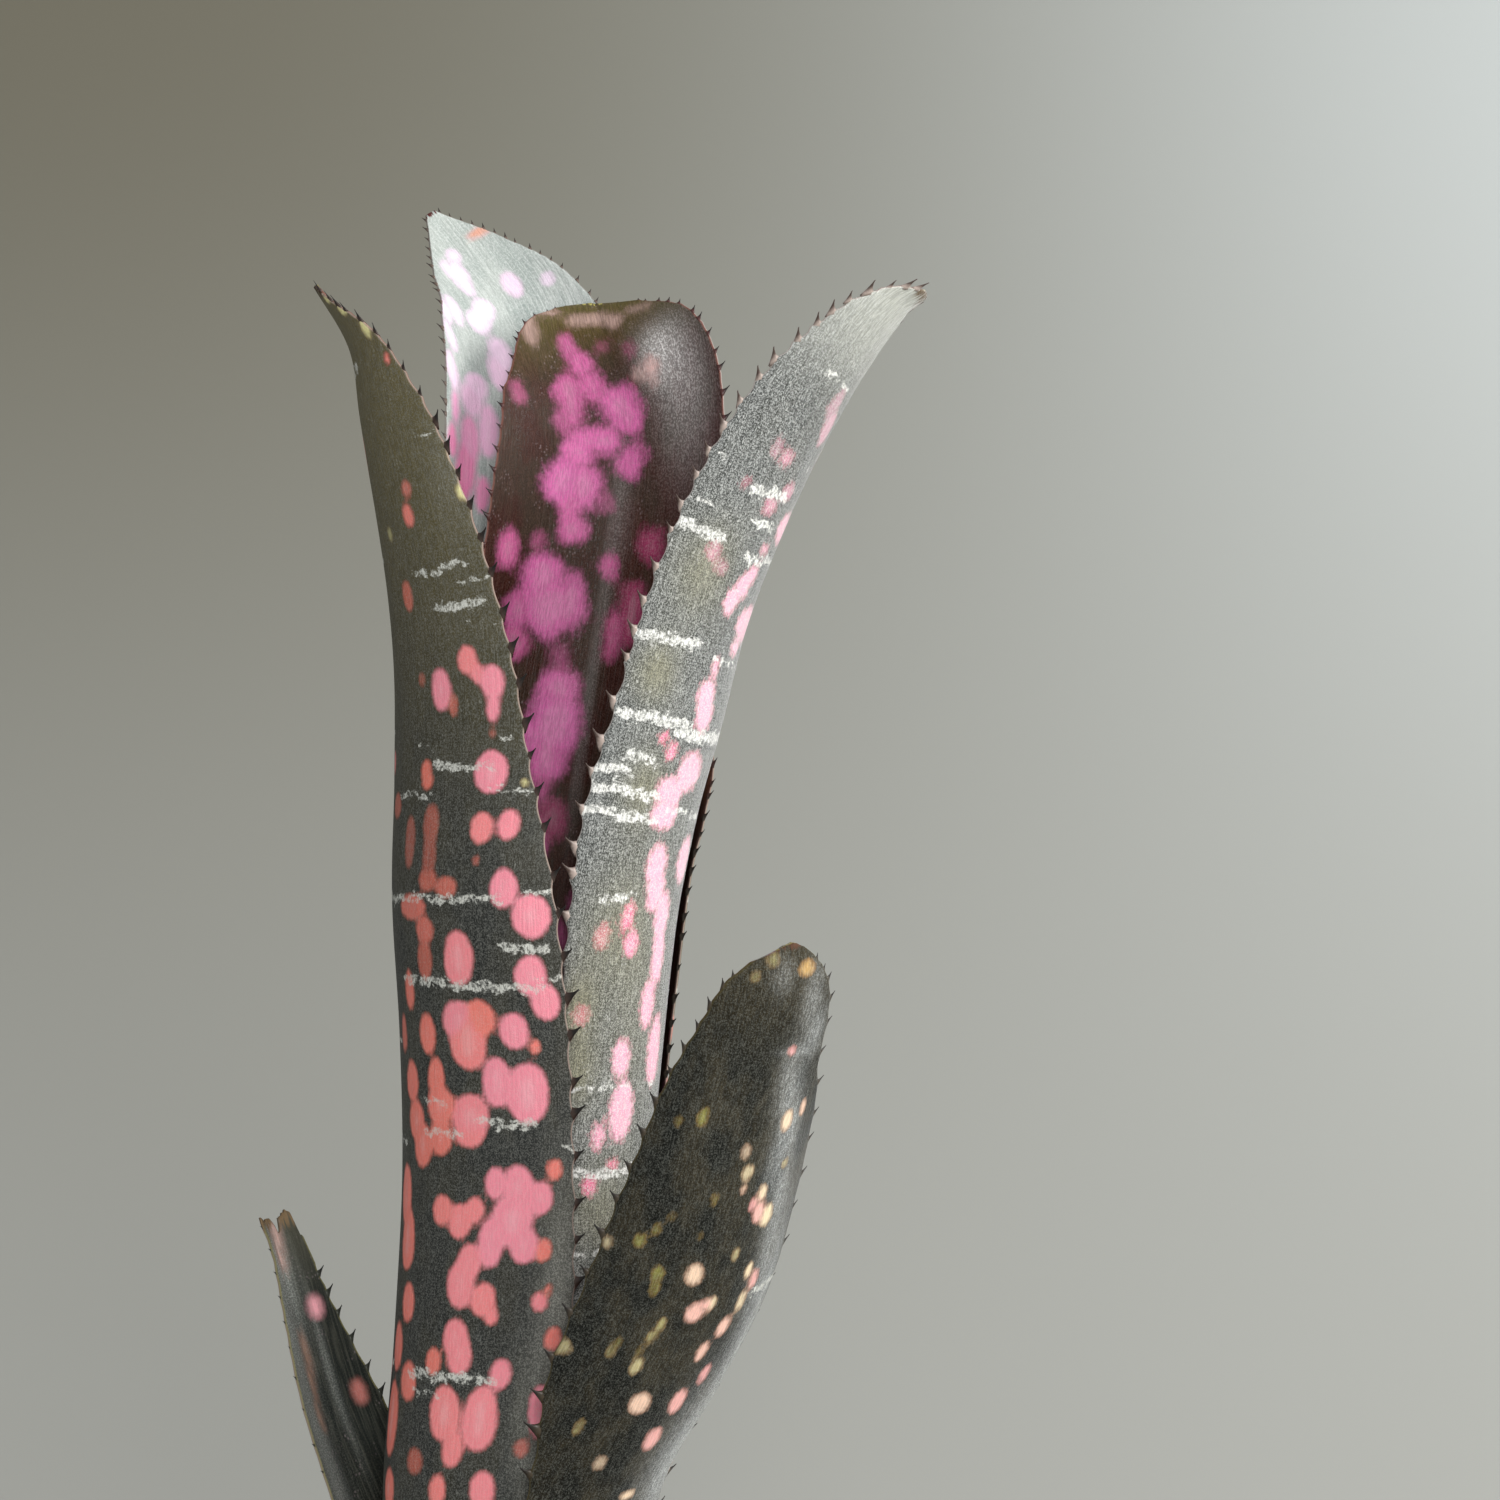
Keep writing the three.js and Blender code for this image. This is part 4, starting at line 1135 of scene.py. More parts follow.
def mix_values(tree, share, first, second):
    """Two values blended by a share from 0 to 1."""
    made = add(tree, "ShaderNodeMix", data_type="FLOAT", clamp_factor=True)
    for k, given in zip((0, *VALUE_INPUTS), (share, first, second)):
        link(tree, made.inputs[k], given)
    return made.outputs[VALUE_OUTPUT]


def ramp(tree, value, low, high, start=0.0, end=1.0):
    """A smooth step of a value from low to high."""
    made = add(tree, "ShaderNodeMapRange", interpolation_type="SMOOTHSTEP")
    for socket, given in zip(made.inputs, (value, low, high, start, end)):
        link(tree, socket, given)
    return made.outputs[0]


def noise_node(tree, place, scale, detail=2.0, roughness=0.5, distortion=0.0):
    """Cloudy noise from 0 to 1."""
    made = add(tree, "ShaderNodeTexNoise")
    for key, given in (("Vector", place), ("Scale", scale), ("Detail", detail), ("Roughness", roughness),
                       ("Distortion", distortion)):
        link(tree, made.inputs[key], given)
    return made.outputs["Fac"]


def stretched(tree, place, scale):
    """A place scaled along its three axes, to draw a pattern out along one of them."""
    made = add(tree, "ShaderNodeMapping")
    link(tree, made.inputs["Vector"], place)
    made.inputs["Scale"].default_value = scale
    return made.outputs["Vector"]


def attribute(tree, name, vector=False):
    """One of the piece's own attributes."""
    made = add(tree, "ShaderNodeAttribute", attribute_name=name)
    return made.outputs["Vector" if vector else "Fac"]


def waves(tree, place, axis, scale, distortion, detail_scale):
    """Soft parallel lines across an axis, bent by noise."""
    made = add(tree, "ShaderNodeTexWave", wave_type="BANDS", bands_direction=axis)
    for key, given in (("Vector", place), ("Scale", scale), ("Distortion", distortion), ("Detail", 2.0),
                       ("Detail Scale", detail_scale)):
        link(tree, made.inputs[key], given)
    return made.outputs["Fac"]


def object_place(tree):
    """A point's place on the object, in metres."""
    return add(tree, "ShaderNodeTexCoord").outputs["Object"]


KINDS = {"float": "NodeSocketFloat", "color": "NodeSocketColor", "vector": "NodeSocketVector"}


def new_group(name, inputs, outputs):
    """An empty node group with named sockets: (name, kind, default) in and (name, kind) out."""
    tree = bpy.data.node_groups.new(name, "ShaderNodeTree")
    for label, kind, default in inputs:
        socket = tree.interface.new_socket(label, in_out="INPUT", socket_type=KINDS[kind])
        if default is not None:
            socket.default_value = rgba(default) if kind == "color" else default
    for label, kind in outputs:
        tree.interface.new_socket(label, in_out="OUTPUT", socket_type=KINDS[kind])
    start = add(tree, "NodeGroupInput")
    end = add(tree, "NodeGroupOutput")
    return tree, start.outputs, end.inputs


def use_group(tree, group, **inputs):
    """The outputs of a node group placed in a tree, with its inputs given by name."""
    made = add(tree, "ShaderNodeGroup", node_tree=group)
    for key, value in inputs.items():
        link(tree, made.inputs[key.replace("_", " ").title()], value)
    return made.outputs


def new_material(name):
    """A material with only its output and a Principled shader."""
    material = bpy.data.materials.new(name)
    material.use_nodes = True
    tree = material.node_tree
    tree.nodes.clear()
    shader = add(tree, "ShaderNodeBsdfPrincipled")
    output = add(tree, "ShaderNodeOutputMaterial")
    tree.links.new(shader.outputs["BSDF"], output.inputs["Surface"])
    return material, tree, shader


def bump(tree, shader, height, strength, distance):
    """Fine relief from a height, as deep as the distance in metres."""
    made = add(tree, "ShaderNodeBump")
    made.inputs["Strength"].default_value = strength
    made.inputs["Distance"].default_value = distance
    link(tree, made.inputs["Height"], height)
    tree.links.new(made.outputs["Normal"], shader.inputs["Normal"])


def surface(tree, shader, color, roughness, relief=None):
    """Joins a colour, a roughness and a relief (height, strength, metres deep) to the shader."""
    tree.links.new(color, shader.inputs["Base Color"])
    tree.links.new(roughness, shader.inputs["Roughness"])
    if relief:
        bump(tree, shader, *relief)


# Shared effects

def grain_group():
    """Scales, streaks, a woven cross grain, lines, flecks and clouds of a leaf, from its place in cm."""
    tree, given, out = new_group(
        "Leaf grain",
        [("Place", "vector", None), ("Grain", "float", 30.0)],
        [("Speckle", "float"), ("Streak", "float"), ("Weave", "float"), ("Cloud", "float"),
         ("Fleck", "float"), ("Hatch", "float")],
    )
    place, grain = given["Place"], given["Grain"]
    fine = noise_node(tree, stretched(tree, place, (1, 0.75, 1)), grain, 2.0, 0.6)
    link(tree, out["Speckle"], ramp(tree, fine, 0.46, 0.6))
    hatch = noise_node(tree, stretched(tree, place, (42, 5, 1)), 1.0, 1.0, 0.5)
    link(tree, out["Hatch"], ramp(tree, hatch, 0.42, 0.58))
    long_lines = noise_node(tree, stretched(tree, place, (20, 0.9, 1)), 1.1, 2.0, 0.6)
    link(tree, out["Streak"], ramp(tree, long_lines, 0.42, 0.68))
    lines = waves(tree, place, "X", 8.0, 1.4, 4.0)
    link(tree, out["Weave"], times(tree, lines, waves(tree, place, "Y", 6.0, 3.0, 5.0)))
    broad = noise_node(tree, stretched(tree, place, (1.6, 0.8, 1)), 1.1, 3.0, 0.55)
    link(tree, out["Cloud"], ramp(tree, broad, 0.38, 0.64))
    cells = add(tree, "ShaderNodeTexVoronoi")
    link(tree, cells.inputs["Vector"], stretched(tree, place, (1, 0.7, 1)))
    cells.inputs["Scale"].default_value = 17.0
    patches = ramp(tree, noise_node(tree, place, 3.2, 2.0), 0.5, 0.68)
    dots = ramp(tree, cells.outputs["Distance"], 0.38, 0.16)
    link(tree, out["Fleck"], times(tree, dots, patches))
    return tree


def spot_group():
    """A spot's inside, rim and core from its signed distance in mm, with a frayed and soft edge."""
    tree, given, out = new_group(
        "Leaf spot",
        [("Place", "vector", None), ("Distance", "float", 4.0), ("Fray", "float", 0.35),
         ("Softness", "float", 0.3), ("Growth", "float", 0.0)],
        [("Inside", "float"), ("Rim", "float"), ("Core", "float")],
    )
    frayed = noise_node(tree, stretched(tree, given["Place"], (1, 0.6, 1)), 16.0, 2.0, 0.6)
    offset = times(tree, minus(tree, frayed, 0.5), given["Fray"])
    edge = minus(tree, given["Distance"], given["Growth"])
    edge = plus(tree, edge, times(tree, offset, 2.0))
    soft = given["Softness"]
    inside = ramp(tree, edge, times(tree, soft, -1.0), soft, 1.0, 0.0)
    link(tree, out["Inside"], inside)
    from_ring = math_node(tree, "ABSOLUTE", minus(tree, edge, 0.1))
    link(tree, out["Rim"], ramp(tree, from_ring, 0.0, 0.5, 1.0, 0.0))
    link(tree, out["Core"], ramp(tree, edge, -1.2, -3.4))
    return tree


def band_group():
    """A broken crust of pale scales from a cross band's signed distance in mm."""
    tree, given, out = new_group(
        "Leaf band",
        [("Place", "vector", None), ("Distance", "float", 4.0)],
        [("Crust", "float")],
    )
    place = given["Place"]
    ragged = noise_node(tree, stretched(tree, place, (0.8, 1, 1)), 9.0, 3.0, 0.65)
    crumbs = noise_node(tree, stretched(tree, place, (1, 0.7, 1)), 28.0, 1.0, 0.6)
    edge = plus(tree, given["Distance"],
                     times(tree, minus(tree, ragged, 0.5), 4.2))
    body = ramp(tree, edge, -0.25, 0.35, 1.0, 0.0)
    broken = ramp(tree, crumbs, 0.34, 0.56)
    link(tree, out["Crust"], times(tree, body, mix_values(tree, 0.75, 1.0, broken)))
    return tree


SKIN_COLORS = ("Ground", "Patch", "Scurf", "Low Spot", "Middle Spot", "High Spot", "Mark", "Rim Color",
               "Band", "Haze Color", "Margin", "Flush", "Dry Tip")
SKIN_AMOUNTS = {"Patches": 0.6, "Scurfing": 0.5, "Streaking": 0.3, "Weaving": 0.2, "Hatching": 0.3,
                "Flecking": 0.3, "Crumbs": 0.2, "Rimming": 0.4, "Coring": 0.0, "Spot Lines": 0.35,
                "Banding": 1.0, "Hazing": 1.0, "Margin Width": 0.25, "Flush Reach": 30.0,
                "Flushing": 0.0, "Dry Reach": 4.0}
SPOT_CORE = (1.0, 0.86, 0.88, 1.0)
LINE_SHADE = (0.5, 0.5, 0.5, 1.0)


def skin_group():
    """The colour, roughness and height of one face of a leaf, from its grain, spots, bands and margin."""
    masks = ("Speckle", "Streak", "Weave", "Hatch", "Cloud", "Fleck", "Inside", "Rim", "Core", "Tone",
             "Strength", "Crust", "Haze", "Edge", "Tip")
    tree, given, out = new_group(
        "Leaf skin",
        [(name, "float", 0.0) for name in masks]
        + [(name, "color", (0.2, 0.2, 0.2)) for name in SKIN_COLORS]
        + [(name, "float", value) for name, value in SKIN_AMOUNTS.items()],
        [("Color", "color"), ("Roughness", "float"), ("Height", "float")],
    )

    def share(mask, amount):
        return times(tree, mask, given[amount])

    color = mix_colors(tree, share(given["Cloud"], "Patches"), given["Ground"], given["Patch"])
    # A tint that grows towards the tip, which on some leaves is partly painted light on their lit upper part
    near_tip = ramp(tree, given["Tip"], 0.0, given["Flush Reach"], 1.0, 0.0)
    color = mix_colors(tree, share(near_tip, "Flushing"), color, given["Flush"])
    color = mix_colors(tree, share(given["Streak"], "Streaking"), color, given["Scurf"])
    color = mix_colors(tree, share(given["Weave"], "Weaving"), color, given["Scurf"])
    color = mix_colors(tree, share(given["Speckle"], "Scurfing"), color, given["Scurf"])
    # The soft patches: a tint on some leaves, painted light and painted highlight on others, grained by the
    # speckle
    grained = mix_values(tree, given["Speckle"], 0.45, 1.0)
    painted_light_and_tint_share = times(tree, share(given["Haze"], "Hazing"), grained)
    color = mix_colors(tree, painted_light_and_tint_share, color, given["Haze Color"])
    color = mix_colors(tree, share(given["Fleck"], "Flecking"), color, given["Band"])
    tone = given["Tone"]
    spot = mix_colors(tree, times(tree, tone, 2.0, clamp=True),
                      given["Low Spot"], given["Middle Spot"])
    further = minus(tree, times(tree, tone, 2.0), 1.0, clamp=True)
    spot = mix_colors(tree, further, spot, given["High Spot"])
    spot = mix_colors(tree, minus(tree, tone, 1.0, clamp=True), spot, given["Mark"])
    spot = mix_colors(tree, share(given["Speckle"], "Crumbs"), spot, given["Band"])
    spot = mix_colors(tree, share(given["Core"], "Coring"), spot, SPOT_CORE)
    ring = times(tree, share(given["Rim"], "Rimming"), given["Strength"])
    color = mix_colors(tree, ring, color, given["Rim Color"])
    covered = times(tree, given["Inside"], given["Strength"])
    color = mix_colors(tree, covered, color, spot)
    thin_crust = mix_values(tree, covered, 1.0, 0.65)
    crusted = times(tree, share(given["Crust"], "Banding"), thin_crust)
    color = mix_colors(tree, crusted, color, given["Band"])
    lines = share(given["Hatch"], "Hatching")
    lined = times(tree, lines, mix_values(tree, covered, 1.0, given["Spot Lines"]))
    color = mix_colors(tree, lined, color, LINE_SHADE, "MULTIPLY")
    line = ramp(tree, given["Edge"], 0.0, given["Margin Width"], 0.85, 0.0)
    color = mix_colors(tree, line, color, given["Margin"])
    frayed = plus(tree, given["Tip"], times(tree, given["Streak"], 2.0))
    dry = ramp(tree, frayed, times(tree, given["Dry Reach"], 0.5), given["Dry Reach"],
               1.0, 0.0)
    color = mix_colors(tree, dry, color, given["Dry Tip"])
    link(tree, out["Color"], color)
    rough = plus(tree, times(tree, given["Speckle"], 0.16),
                      times(tree, crusted, 0.3))
    link(tree, out["Roughness"], minus(tree, rough,
                                           times(tree, covered, 0.06)))
    height = plus(tree, times(tree, given["Streak"], 0.5),
                       times(tree, given["Speckle"], 0.35))
    link(tree, out["Height"], plus(tree, height, times(tree, crusted, 0.9)))
    return tree


def wear_group():
    """Dust and dirt that gather with height, as masks, from a place in metres and two heights."""
    tree, given, out = new_group(
        "Weathering",
        [("Place", "vector", None), ("Low", "float", 0.0), ("High", "float", 0.1),
         ("Scale", "float", 60.0)],
        [("Low Stain", "float"), ("High Stain", "float"), ("Mottle", "float"), ("Grit", "float")],
    )
    place = given["Place"]
    split = add(tree, "ShaderNodeSeparateXYZ")
    link(tree, split.inputs[0], place)
    height = split.outputs["Z"]
    broad = noise_node(tree, place, given["Scale"], 4.0, 0.6)
    swing = times(tree, minus(tree, broad, 0.5), 0.05)
    edge = plus(tree, height, swing)
    span = minus(tree, given["High"], given["Low"])
    low_end = plus(tree, given["Low"], times(tree, span, 0.3))
    high_start = minus(tree, given["High"], times(tree, span, 0.25))
    link(tree, out["Low Stain"], ramp(tree, edge, given["Low"], low_end, 1.0, 0.0))
    link(tree, out["High Stain"], ramp(tree, edge, high_start, given["High"]))
    link(tree, out["Mottle"], ramp(tree, broad, 0.38, 0.66))
    link(tree, out["Grit"], noise_node(tree, place, 2600.0, 2.0, 0.7))
    return tree


GROUPS = {}


def shared(name):
    """A shared node group, built the first time that it is asked for."""
    builders = {"grain": grain_group, "spot": spot_group, "band": band_group, "skin": skin_group,
                "weathering": wear_group}
    if name not in GROUPS:
        GROUPS[name] = builders[name]()
    return GROUPS[name]


# Looks of the leaves' two faces: colours, then how much of each marking shows. Reaches are in mm.
DARK_OUTSIDE = {
    "ground": srgb(38, 40, 39), "patch": srgb(56, 54, 44), "scurf": srgb(134, 135, 130),
    "low_spot": srgb(254, 152, 170), "middle_spot": srgb(252, 138, 128), "high_spot": srgb(226, 118, 100),
    "mark": srgb(240, 232, 168), "rim_color": srgb(104, 70, 56), "band": srgb(222, 223, 216),
    # The pale margin line is partly the leaf's pale margin and partly a painted highlight on its lit edge
    "haze_color": srgb(160, 160, 152), "margin": srgb(168, 148, 138),
    # The olive tint towards the tip is partly the leaf's own colour and partly painted light on its upper
    # part
    "flush": srgb(118, 108, 72), "dry_tip": srgb(66, 48, 36),
    "patches": 0.75, "scurfing": 0.42, "streaking": 0.08, "weaving": 0.1, "hatching": 0.35,
    "flecking": 0.12, "crumbs": 0.12, "rimming": 0.5, "coring": 0.15, "banding": 0.95, "hazing": 1.0,
    "margin_width": 0.35, "flush_reach": 110.0, "flushing": 0.85, "dry_reach": 3.0,
}
# Its dark high spot colour also serves as painted shade on the innermost leaf's spots beside the right leaf's
# margin
MAROON_INSIDE = {
    "ground": srgb(60, 24, 14), "patch": srgb(56, 50, 36), "scurf": srgb(120, 92, 82),
    "low_spot": srgb(234, 116, 186), "middle_spot": srgb(220, 104, 160), "high_spot": srgb(150, 48, 84),
    "mark": srgb(246, 204, 198), "rim_color": srgb(110, 58, 70), "band": srgb(206, 186, 190),
    "haze_color": srgb(250, 248, 246), "margin": srgb(140, 92, 82),
    "flush": srgb(104, 98, 52), "dry_tip": srgb(190, 180, 104),
    "patches": 0.65, "scurfing": 0.2, "streaking": 0.12, "weaving": 0.03, "hatching": 0.45, "flecking": 0.2,
    "crumbs": 0.15, "rimming": 0.3, "coring": 0.12, "spot_lines": 0.8, "banding": 0.0, "hazing": 1.0,
    "margin_width": 0.45, "flush_reach": 20.0, "flushing": 0.8, "dry_reach": 1.5,
}
GREY_OUTSIDE = {
    "ground": srgb(60, 63, 62), "patch": srgb(72, 72, 66), "scurf": srgb(220, 223, 221),
    "low_spot": srgb(254, 180, 206), "middle_spot": srgb(252, 128, 166), "high_spot": srgb(236, 150, 150),
    "mark": srgb(214, 210, 150), "rim_color": srgb(190, 130, 110), "band": srgb(252, 252, 248),
    "haze_color": srgb(172, 168, 134), "margin": srgb(190, 182, 176),
    # The pale tint towards the tip is painted light, where the light from the right falls on the tip
    "flush": srgb(228, 230, 220), "dry_tip": srgb(104, 86, 62),
    "patches": 0.5, "scurfing": 0.55, "streaking": 0.12, "weaving": 0.2, "hatching": 0.5, "flecking": 0.35,
    "crumbs": 0.6, "rimming": 0.4, "coring": 0.15, "banding": 1.0, "hazing": 1.0, "margin_width": 0.15,
    "flush_reach": 28.0, "flushing": 0.8, "dry_reach": 3.4,
}
# The back left leaf's inside is pale partly as painted light, for light falling on and through it, and its
# bright high spot colour is painted light where the innermost leaf shades it
PALE_INSIDE = {
    "ground": srgb(154, 166, 163), "patch": srgb(196, 203, 199), "scurf": srgb(232, 236, 234),
    "low_spot": srgb(255, 230, 254), "middle_spot": srgb(255, 190, 228), "high_spot": srgb(255, 140, 190),
    "mark": srgb(232, 158, 132), "rim_color": srgb(226, 196, 222), "band": srgb(240, 244, 242),
    "haze_color": srgb(190, 200, 204), "margin": srgb(112, 102, 94),
    "flush": srgb(190, 197, 190), "dry_tip": srgb(96, 50, 46),
    "patches": 0.75, "scurfing": 0.3, "streaking": 0.25, "weaving": 0.0, "hatching": 0.25, "flecking": 0.1,
    "crumbs": 0.05, "rimming": 0.3, "coring": 0.1, "banding": 0.0, "hazing": 0.0, "margin_width": 0.3,
    "flush_reach": 40.0, "flushing": 0.5, "dry_reach": 1.0,
}
# The folded leaf's inside has a dark ground, partly painted shade on the flap turned from the light; its lit
# flap is painted lighter by its soft patches
FOLDED_INSIDE = {
    **MAROON_INSIDE, "ground": srgb(18, 25, 23), "patch": srgb(30, 32, 27), "scurf": srgb(120, 120, 108),
    "low_spot": srgb(255, 176, 186), "middle_spot": srgb(196, 104, 100), "high_spot": srgb(206, 160, 136),
    "haze_color": srgb(190, 194, 188), "rim_color": srgb(96, 66, 56), "streaking": 0.22, "scurfing": 0.1,
    "dry_tip": srgb(134, 112, 84), "dry_reach": 4.0, "flush": srgb(104, 102, 86), "flush_reach": 20.0,
    "flushing": 0.5, "margin": srgb(136, 130, 84), "coring": 0.1, "hatching": 0.2,
}
SPECKLED_OUTSIDE = {
    **DARK_OUTSIDE, "patches": 0.9, "ground": srgb(22, 23, 20), "patch": srgb(60, 54, 40),
    "scurf": srgb(116, 118, 112),
    "low_spot": srgb(150, 146, 80), "middle_spot": srgb(252, 230, 192), "high_spot": srgb(250, 180, 178),
    "mark": srgb(228, 186, 122), "rim_color": srgb(130, 84, 58), "haze_color": srgb(226, 230, 230),
    "streaking": 0.05, "scurfing": 0.4, "flecking": 0.04, "weaving": 0.08, "coring": 0.0, "hatching": 0.8,
    "flush": srgb(64, 56, 38), "flush_reach": 26.0, "flushing": 0.8, "dry_tip": srgb(92, 66, 52),
    "dry_reach": 1.4, "margin": srgb(84, 76, 48),
}
BACK_OUTSIDE = {**GREY_OUTSIDE, "ground": srgb(62, 64, 58), "hazing": 0.0, "flush": srgb(112, 110, 92)}
LOOKS = {
    "leaf_center": (BACK_OUTSIDE, MAROON_INSIDE),
    "leaf_right": (GREY_OUTSIDE, {**MAROON_INSIDE, "hazing": 0.0}),
    # The inside of leaf_back_right, deep in the tube, has darkened spots and a dark margin as painted shade
    "leaf_back_right": (DARK_OUTSIDE, {**MAROON_INSIDE, "low_spot": srgb(104, 48, 66),
                                       "middle_spot": srgb(92, 44, 58), "margin": srgb(58, 40, 36)}),
    "leaf_back_left": (BACK_OUTSIDE, PALE_INSIDE),
    "leaf_left": (DARK_OUTSIDE, {**MAROON_INSIDE, "hazing": 0.0}),
    "leaf_low_right": (SPECKLED_OUTSIDE, {**MAROON_INSIDE, "hazing": 0.0}),
    "leaf_low_left": ({**DARK_OUTSIDE, "hazing": 0.0}, FOLDED_INSIDE),
}

# Finish of a leaf. grain: fineness of its scales. fray, softness and growth: how ragged, how soft and how
# far out its spots' edges are, in mm. roughness: added to the skin's own. gloss and sheen: of the surface.
Finish = namedtuple("Finish", "grain fray softness growth roughness gloss sheen")
SHEEN_ROUGHNESS = 0.25
FINISHES = {
    "leaf_center": Finish(36.0, 1.0, 1.5, 0.15, 0.38, 0.18, 0.0),
    "leaf_right": Finish(58.0, 1.3, 0.9, 0.0, 0.5, 0.22, 0.9),
    "leaf_back_right": Finish(40.0, 0.5, 0.4, 0.0, 0.5, 0.2, 0.0),
    "leaf_back_left": Finish(34.0, 0.4, 1.0, 0.1, 0.42, 0.3, 0.0),
    "leaf_left": Finish(52.0, 0.3, 0.55, 0.1, 0.5, 0.16, 0.0),
    "leaf_low_right": Finish(52.0, 0.4, 0.7, -0.1, 0.55, 0.08, 0.25),
    "leaf_low_left": Finish(40.0, 0.35, 1.2, 0.0, 0.5, 0.1, 0.0),
}


def leaf_material(name):
    """A leaf's skin: one look on its outer face and another on its inner face, blended by an attribute."""
    material, tree, shader = new_material(f"{name}_skin")
    finish = FINISHES[name]
    place = attribute(tree, "place", vector=True)
    grain = use_group(tree, shared("grain"), place=place, grain=finish.grain)
    spot = use_group(tree, shared("spot"), place=place, distance=attribute(tree, "spot"),
                     fray=finish.fray, softness=finish.softness, growth=finish.growth)
    band = use_group(tree, shared("band"), place=place, distance=attribute(tree, "band"))
    marks = {
        "tone": attribute(tree, "tone"), "strength": attribute(tree, "strength"), "crust": band["Crust"],
        "edge": attribute(tree, "edge"), "tip": attribute(tree, "tip"), "haze": attribute(tree, "haze"),
    }
    grain_masks = ("Speckle", "Streak", "Weave", "Hatch", "Cloud", "Fleck")
    marks.update({key.lower(): grain[key] for key in grain_masks})
    marks.update({key.lower(): spot[key] for key in ("Inside", "Rim", "Core")})
    faces = []
    for look in LOOKS[name]:
        values = {key: rgba(value) if isinstance(value, tuple) else value for key, value in look.items()}
        faces.append(use_group(tree, shared("skin"), **marks, **values))
    outer, inner = faces
    side = attribute(tree, "inner")
    color = mix_colors(tree, side, outer["Color"], inner["Color"])
    rough = mix_values(tree, side, outer["Roughness"], inner["Roughness"])
    rough = plus(tree, rough, finish.roughness, clamp=True)
    height = mix_values(tree, side, outer["Height"], inner["Height"])
    surface(tree, shader, color, rough, (height, 0.35, 0.0003))
    shader.inputs["Specular IOR Level"].default_value = finish.gloss
    shader.inputs["Sheen Weight"].default_value = finish.sheen
    shader.inputs["Sheen Roughness"].default_value = SHEEN_ROUGHNESS
    return material


def spine_material(name, foot, tip):
    """Horny spines: pale or reddish at the foot and dark at the point."""
    material, tree, shader = new_material(f"{name}_horn")
    growth = attribute(tree, "growth")
    speckle = noise_node(tree, object_place(tree), 1800.0, 2.0)
    swing = times(tree, minus(tree, speckle, 0.5), 0.3)
    share = ramp(tree, plus(tree, growth, swing), 0.12, 0.62)
    color = mix_colors(tree, share, rgba(foot), rgba(tip))
    surface(tree, shader, color, ramp(tree, speckle, 0.3, 0.7, 0.34, 0.5))
    return material


# Colours of the spines, at the foot and at the point
SPINE_COLORS = {
    "leaf_center": (srgb(84, 48, 45), srgb(28, 18, 16)),
    "leaf_right": (srgb(172, 156, 148), srgb(70, 54, 48)),
    "leaf_back_right": (srgb(60, 50, 42), srgb(28, 22, 18)),
    "leaf_back_left": (srgb(110, 94, 84), srgb(40, 30, 27)),
    "leaf_left": (srgb(64, 47, 40), srgb(22, 17, 15)),
    "leaf_low_right": (srgb(64, 54, 40), srgb(28, 22, 18)),
    "leaf_low_left": (srgb(60, 62, 52), srgb(32, 32, 29)),
}


def sheath_material(colors):
    """Dry papery sheaths: straw and brown fibres with darker blotches and a bleached margin."""
    material, tree, shader = new_material("sheath_paper")
    place = attribute(tree, "place", vector=True)
    grain = use_group(tree, shared("grain"), place=place, grain=20.0)
    fibres = noise_node(tree, stretched(tree, place, (26, 0.7, 1)), 1.0, 3.0, 0.65)
    dark = rgba(colors.sheath_dark)
    color = mix_colors(tree, ramp(tree, fibres, 0.35, 0.68), dark, rgba(colors.sheath_pale))
    color = mix_colors(tree, times(tree, grain["Cloud"], 0.55), color, dark)
    line = ramp(tree, attribute(tree, "edge"), 0.1, 2.2, 0.7, 0.0)
    color = mix_colors(tree, line, color, rgba(srgb(196, 170, 128)))
    color = mix_colors(tree, times(tree, grain["Fleck"], 0.5), color, rgba(srgb(60, 42, 28)))
    surface(tree, shader, color, ramp(tree, fibres, 0.3, 0.7, 0.6, 0.85), (fibres, 0.6, 0.0006))
    return material


def clay_material(colors):
    """Fired clay: throwing lines, mottling, pale bloom at the foot and a damp stain near the rim."""
    material, tree, shader = new_material("pot_clay")
    place = object_place(tree)
    wear = use_group(tree, shared("weathering"), place=place, low=0.0, high=POT_HEIGHT * MM, scale=70.0)
    color = mix_colors(tree, wear["Mottle"], rgba(colors.clay), rgba(colors.clay_dark))
    bloom = noise_node(tree, place, 45.0, 6.0, 0.65)
    patches = times(tree, ramp(tree, bloom, 0.47, 0.72), 0.6)
    color = mix_colors(tree, patches, color, rgba(colors.clay_bloom))
    color = mix_colors(tree, times(tree, wear["Low Stain"], 0.6), color, rgba(colors.clay_bloom))
    color = mix_colors(tree, times(tree, wear["High Stain"], 0.3), color, rgba(colors.clay_dark))
    grit = ramp(tree, wear["Grit"], 0.56, 0.72)
    color = mix_colors(tree, times(tree, grit, 0.35), color, rgba(srgb(226, 182, 150)))
    pores = ramp(tree, wear["Grit"], 0.4, 0.27)
    color = mix_colors(tree, times(tree, pores, 0.5), color, rgba(srgb(92, 50, 34)))
    lines = noise_node(tree, stretched(tree, place, (8, 8, 900)), 1.0, 3.0, 0.6)
    height = plus(tree, lines, times(tree, wear["Grit"], 0.6))
    surface(tree, shader, color, ramp(tree, bloom, 0.3, 0.7, 0.78, 0.95), (height, 0.5, 0.0007))
    shader.inputs["Specular IOR Level"].default_value = 0.25
    return material


